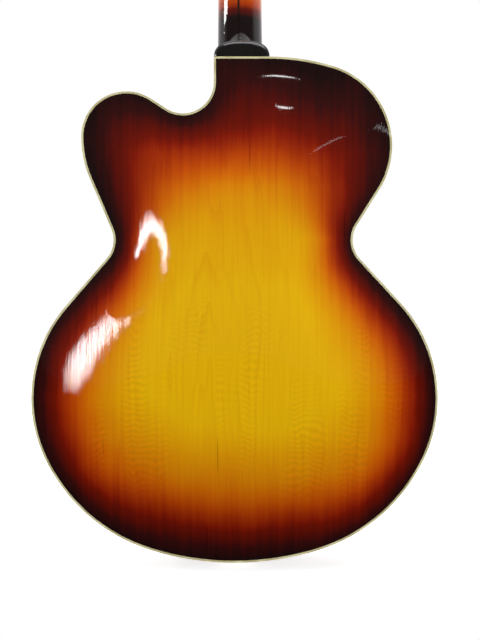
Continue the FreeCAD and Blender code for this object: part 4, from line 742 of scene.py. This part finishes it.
def neck_wood():
    """Lacquered neck with streaks along it and a faint flame across."""
    paint = Paint("neck_lacquer", NECK_LACQUER)
    colour = paint.ramp(paint.neck_share(), NECK_COLOURS)
    streak = paint.drift(NECK_STREAK_RATES, MIDDLE_BAND, *NECK_STREAK_TONES)
    flame = paint.drift(NECK_FLAME_RATES, MIDDLE_BAND, *NECK_FLAME_TONES, detail=1)
    paint.relief(paint.noise(NECK_COAT_RATES), NECK_COAT_DEPTH, "Coat Normal")
    return paint.finish(paint.shaded(colour, paint.work("MULTIPLY", streak, flame)))


def strip_wood():
    """Dark strip along the neck that goes black with the lacquer near the body."""
    paint = Paint("dark_strip_wood", LACQUER)
    colour = paint.ramp(paint.neck_share(), STRIP_COLOURS)
    streak = paint.drift(WOOD_STREAK_RATES, MIDDLE_BAND, *STRIP_TONES, detail=3)
    paint.relief(paint.noise(NECK_COAT_RATES), NECK_COAT_DEPTH, "Coat Normal")
    return paint.finish(paint.shaded(colour, streak))


# Pieces of one material: how far the gloss drifts, how fine that is beside the colour, the dents,
# and the pores of bare wood.
PLAIN_WEAR = (0.9, 1.1)
PLATED_WEAR = (0.7, 1.6)
GLOSS_FINENESS = 3
DENT_DEPTH = 2e-6
PORE_RATES = (1500, 1500, 60)
PORE_DEPTH = 2e-5


def mottled(name, light, dark, rate, sockets, wear=PLAIN_WEAR):
    """A piece of one material whose colour, gloss and surface drift over it."""
    paint = Paint(name, sockets)
    cloud = paint.drift((rate, rate, rate), NARROW_BAND, detail=3)
    gloss = paint.noise((rate * GLOSS_FINENESS,) * 3)
    rough = [sockets["Roughness"] * share for share in wear]
    paint.feed("Roughness", paint.ranged(gloss, *MIDDLE_BAND, *rough))
    paint.relief(gloss, DENT_DEPTH, "Normal")
    return paint.finish(paint.mix(cloud, dark, light))


def plated(name, light, dark, rate):
    """Polished metal with patches that have gone dull."""
    return mottled(name, light, dark, rate, POLISHED, PLATED_WEAR)


def grained(name, light, dark):
    """Bare or oiled wood with fine lines along the length."""
    paint = Paint(name, SATIN)
    streak = paint.drift(WOOD_STREAK_RATES, MIDDLE_BAND, detail=3)
    paint.relief(paint.noise(PORE_RATES, detail=1), PORE_DEPTH, "Normal")
    return paint.finish(paint.mix(streak, dark, light))


# The finish of each material slot: its name, light and dark colour, and patches a metre.
finishes = {
    "flamed_side": flamed_side(),
    "neck_wood": neck_wood(),
    "dark_strip": strip_wood(),
    "inner_wood": grained("inner_wood_bare", srgb(222, 190, 140), srgb(196, 160, 108)),
    "cream_binding": mottled(
        "cream_binding_plastic", srgb(206, 198, 156), srgb(176, 166, 122), 45, GLOSS
    ),
    "black_line": mottled("black_line_plastic", srgb(20, 17, 17), srgb(12, 10, 10), 90, GLOSS),
    "black_gloss": mottled("black_gloss_plastic", srgb(17, 12, 12), srgb(9, 6, 6), 40, GLOSS),
    "tortoise": mottled("tortoise_plastic", srgb(120, 52, 16), srgb(26, 12, 8), 55, GLOSS),
    "ebony": grained("ebony_wood", srgb(40, 33, 29), srgb(22, 18, 16)),
    "pearl": mottled("pearl_shell", srgb(240, 238, 228), srgb(196, 204, 206), 160, GLOSS),
    "bone": mottled("bone_nut", srgb(238, 228, 202), srgb(220, 206, 172), 120, SATIN),
    "nickel": plated("nickel_plate", srgb(226, 222, 212), srgb(204, 199, 188), 40),
    "steel": mottled("bare_steel", srgb(176, 176, 178), srgb(142, 142, 146), 80, BRUSHED),
    "string_steel": mottled("string_wire", srgb(206, 200, 188), srgb(164, 156, 142), 300, BRUSHED),
    "brass_parts": plated("brass_plate", srgb(224, 190, 110), srgb(190, 152, 78), 60),
}
cap_skin.data.materials.append(finishes["black_gloss"])
for piece in frame["record"]["subparts"]:
    slot = piece["material_slot"]
    if slot in finishes:
        data = nodes[piece["node"]].data
        data.materials.clear()
        data.materials.append(finishes[slot])


# Stage: a pale floor and a white background, soft lights and the photo's camera.

# To mirrors and light the floor fades out between two depths, and the room is dim on the camera's
# side.
FLOOR_HALF = 6.0
FLOOR_GAP = 0.0005
FLOOR_CORNERS = ((-1, -1), (1, -1), (1, 1), (-1, 1))
FLOOR_FINISH = {"Roughness": 1.0, "Specular IOR Level": 0.0, "Emission Color": WHITE}
FLOOR_COLOUR = (0.8, 0.8, 0.8, 1.0)
FLOOR_WHITE = 0.7
FLOOR_FADE_START = 0.02
FLOOR_FADE_END = -0.08
STUDIO_DARK = 0.05
STUDIO_MIRRORED = 0.1
STUDIO_FRONT = -0.6
STUDIO_SIDE = 0.0
BACK_MIDDLE = Vector((0.0, back_edge, body_end / 2))


def pale_stage():
    """White to the camera. Mirrors and light see it as a pale table that ends before the camera."""
    paint = Paint("pale_stage", FLOOR_FINISH)
    _, depth, _ = paint.axes()
    near = paint.ranged(depth, FLOOR_FADE_END, FLOOR_FADE_START)
    camera_ray, mirrored = paint.rays()
    seen = paint.work("MAXIMUM", camera_ray, paint.work("MULTIPLY", mirrored, near))
    level = paint.ranged(near, 0.0, 1.0, 1.0, FLOOR_WHITE)
    paint.feed("Emission Strength", paint.work("MULTIPLY", seen, level))
    return paint.finish(paint.mix(near, BLACK, FLOOR_COLOUR))


def floor():
    """One large square just under the guitar."""
    level = cad_low.z - FLOOR_GAP
    corners = [(FLOOR_HALF * x, FLOOR_HALF * y, level) for x, y in FLOOR_CORNERS]
    data = bpy.data.meshes.new("floor")
    data.from_pydata(corners, [], [range(len(corners))])
    data.materials.append(pale_stage())
    made = bpy.data.objects.new("floor", data)
    bpy.context.scene.collection.objects.link(made)


def studio_world():
    """White all round, but dim on the camera's side, as the room behind a photographer."""
    world = bpy.data.worlds.new("studio")
    bpy.context.scene.world = world
    world.use_nodes = True
    studio = NodeTree(world.node_tree, "Generated")
    _, depth, _ = studio.axes()
    camera_ray, mirrored = studio.rays()
    room = studio.ranged(depth, STUDIO_FRONT, STUDIO_SIDE, STUDIO_DARK, 1.0)
    room = studio.work("MAXIMUM", room, studio.work("MULTIPLY", mirrored, STUDIO_MIRRORED))
    level = studio.work("MAXIMUM", room, camera_ray)
    sky = world.node_tree.nodes["Background"]
    sky.inputs["Color"].default_value = WHITE
    world.node_tree.links.new(level, sky.inputs["Strength"])


def softbox(name, place, size, level, roll=0.0, oval=False):
    """Area lamp that faces the back and whose face shines at a level, where 1 is white."""
    width, height = size
    area = width * height * (math.pi / 4 if oval else 1)
    data = bpy.data.lights.new(name, "AREA")
    data.shape = "ELLIPSE" if oval else "RECTANGLE"
    data.size = width
    data.size_y = height
    data.energy = level * math.pi * area
    made = bpy.data.objects.new(name, data)
    made.location = place
    facing = (BACK_MIDDLE - Vector(place)).to_track_quat("-Z", "Y")
    made.rotation_euler = (facing @ Quaternion((0, 0, 1), math.radians(roll))).to_euler()
    bpy.context.scene.collection.objects.link(made)


def photo_lamps():
    """Three small lamps that the back mirrors, one for the neck's streak, and three soft panels."""
    softbox(
        "left_box",
        place=(-1.160, -1.6, 0.345),
        size=(0.070, 0.70),
        level=75,
        roll=-17,
        oval=True,
    )
    softbox("ceiling_lamp", place=(0.05, -1.6, 1.39), size=(0.12, 0.014), level=45, roll=3)
    softbox("thin_lamp", place=(0.3075, -0.8225, 0.6635), size=(0.11, 0.005), level=12, roll=26)
    softbox("left_strip", place=(-1.9, -0.65, 1.19), size=(0.8, 0.22), level=20)
    softbox("left_panel", place=(-1.85, -1.1, 0.27), size=(1.2, 0.5), level=5.0)
    softbox("right_panel", place=(1.85, -1.1, 0.27), size=(1.2, 0.5), level=17.2)
    softbox("top_panel", place=(0.2, -0.9, 2.1), size=(1.6, 1.0), level=4.9)


# Camera: the photo looks square at the back from a little to the bass side.
CAMERA_PLACE = (0.058, -0.893, 0.258)
FRAME_HEIGHT = 0.680
FRAME_MIDDLE = 0.0058
SENSOR = 36.0


def photo_camera():
    """Camera whose picture holds the frame height at the edge of the back."""
    across, depth, _ = CAMERA_PLACE
    data = bpy.data.cameras.new("photo_camera")
    data.sensor_width = SENSOR
    data.lens = SENSOR * (back_edge - depth) / FRAME_HEIGHT
    data.shift_x = (FRAME_MIDDLE - across) / FRAME_HEIGHT
    made = bpy.data.objects.new("photo_camera", data)
    made.location = CAMERA_PLACE
    made.rotation_euler = (math.pi / 2, 0.0, 0.0)
    bpy.context.scene.collection.objects.link(made)
    return made


floor()
studio_world()
photo_lamps()
bpy.context.scene.camera = photo_camera()
bpy.context.scene.view_settings.view_transform = "Standard"
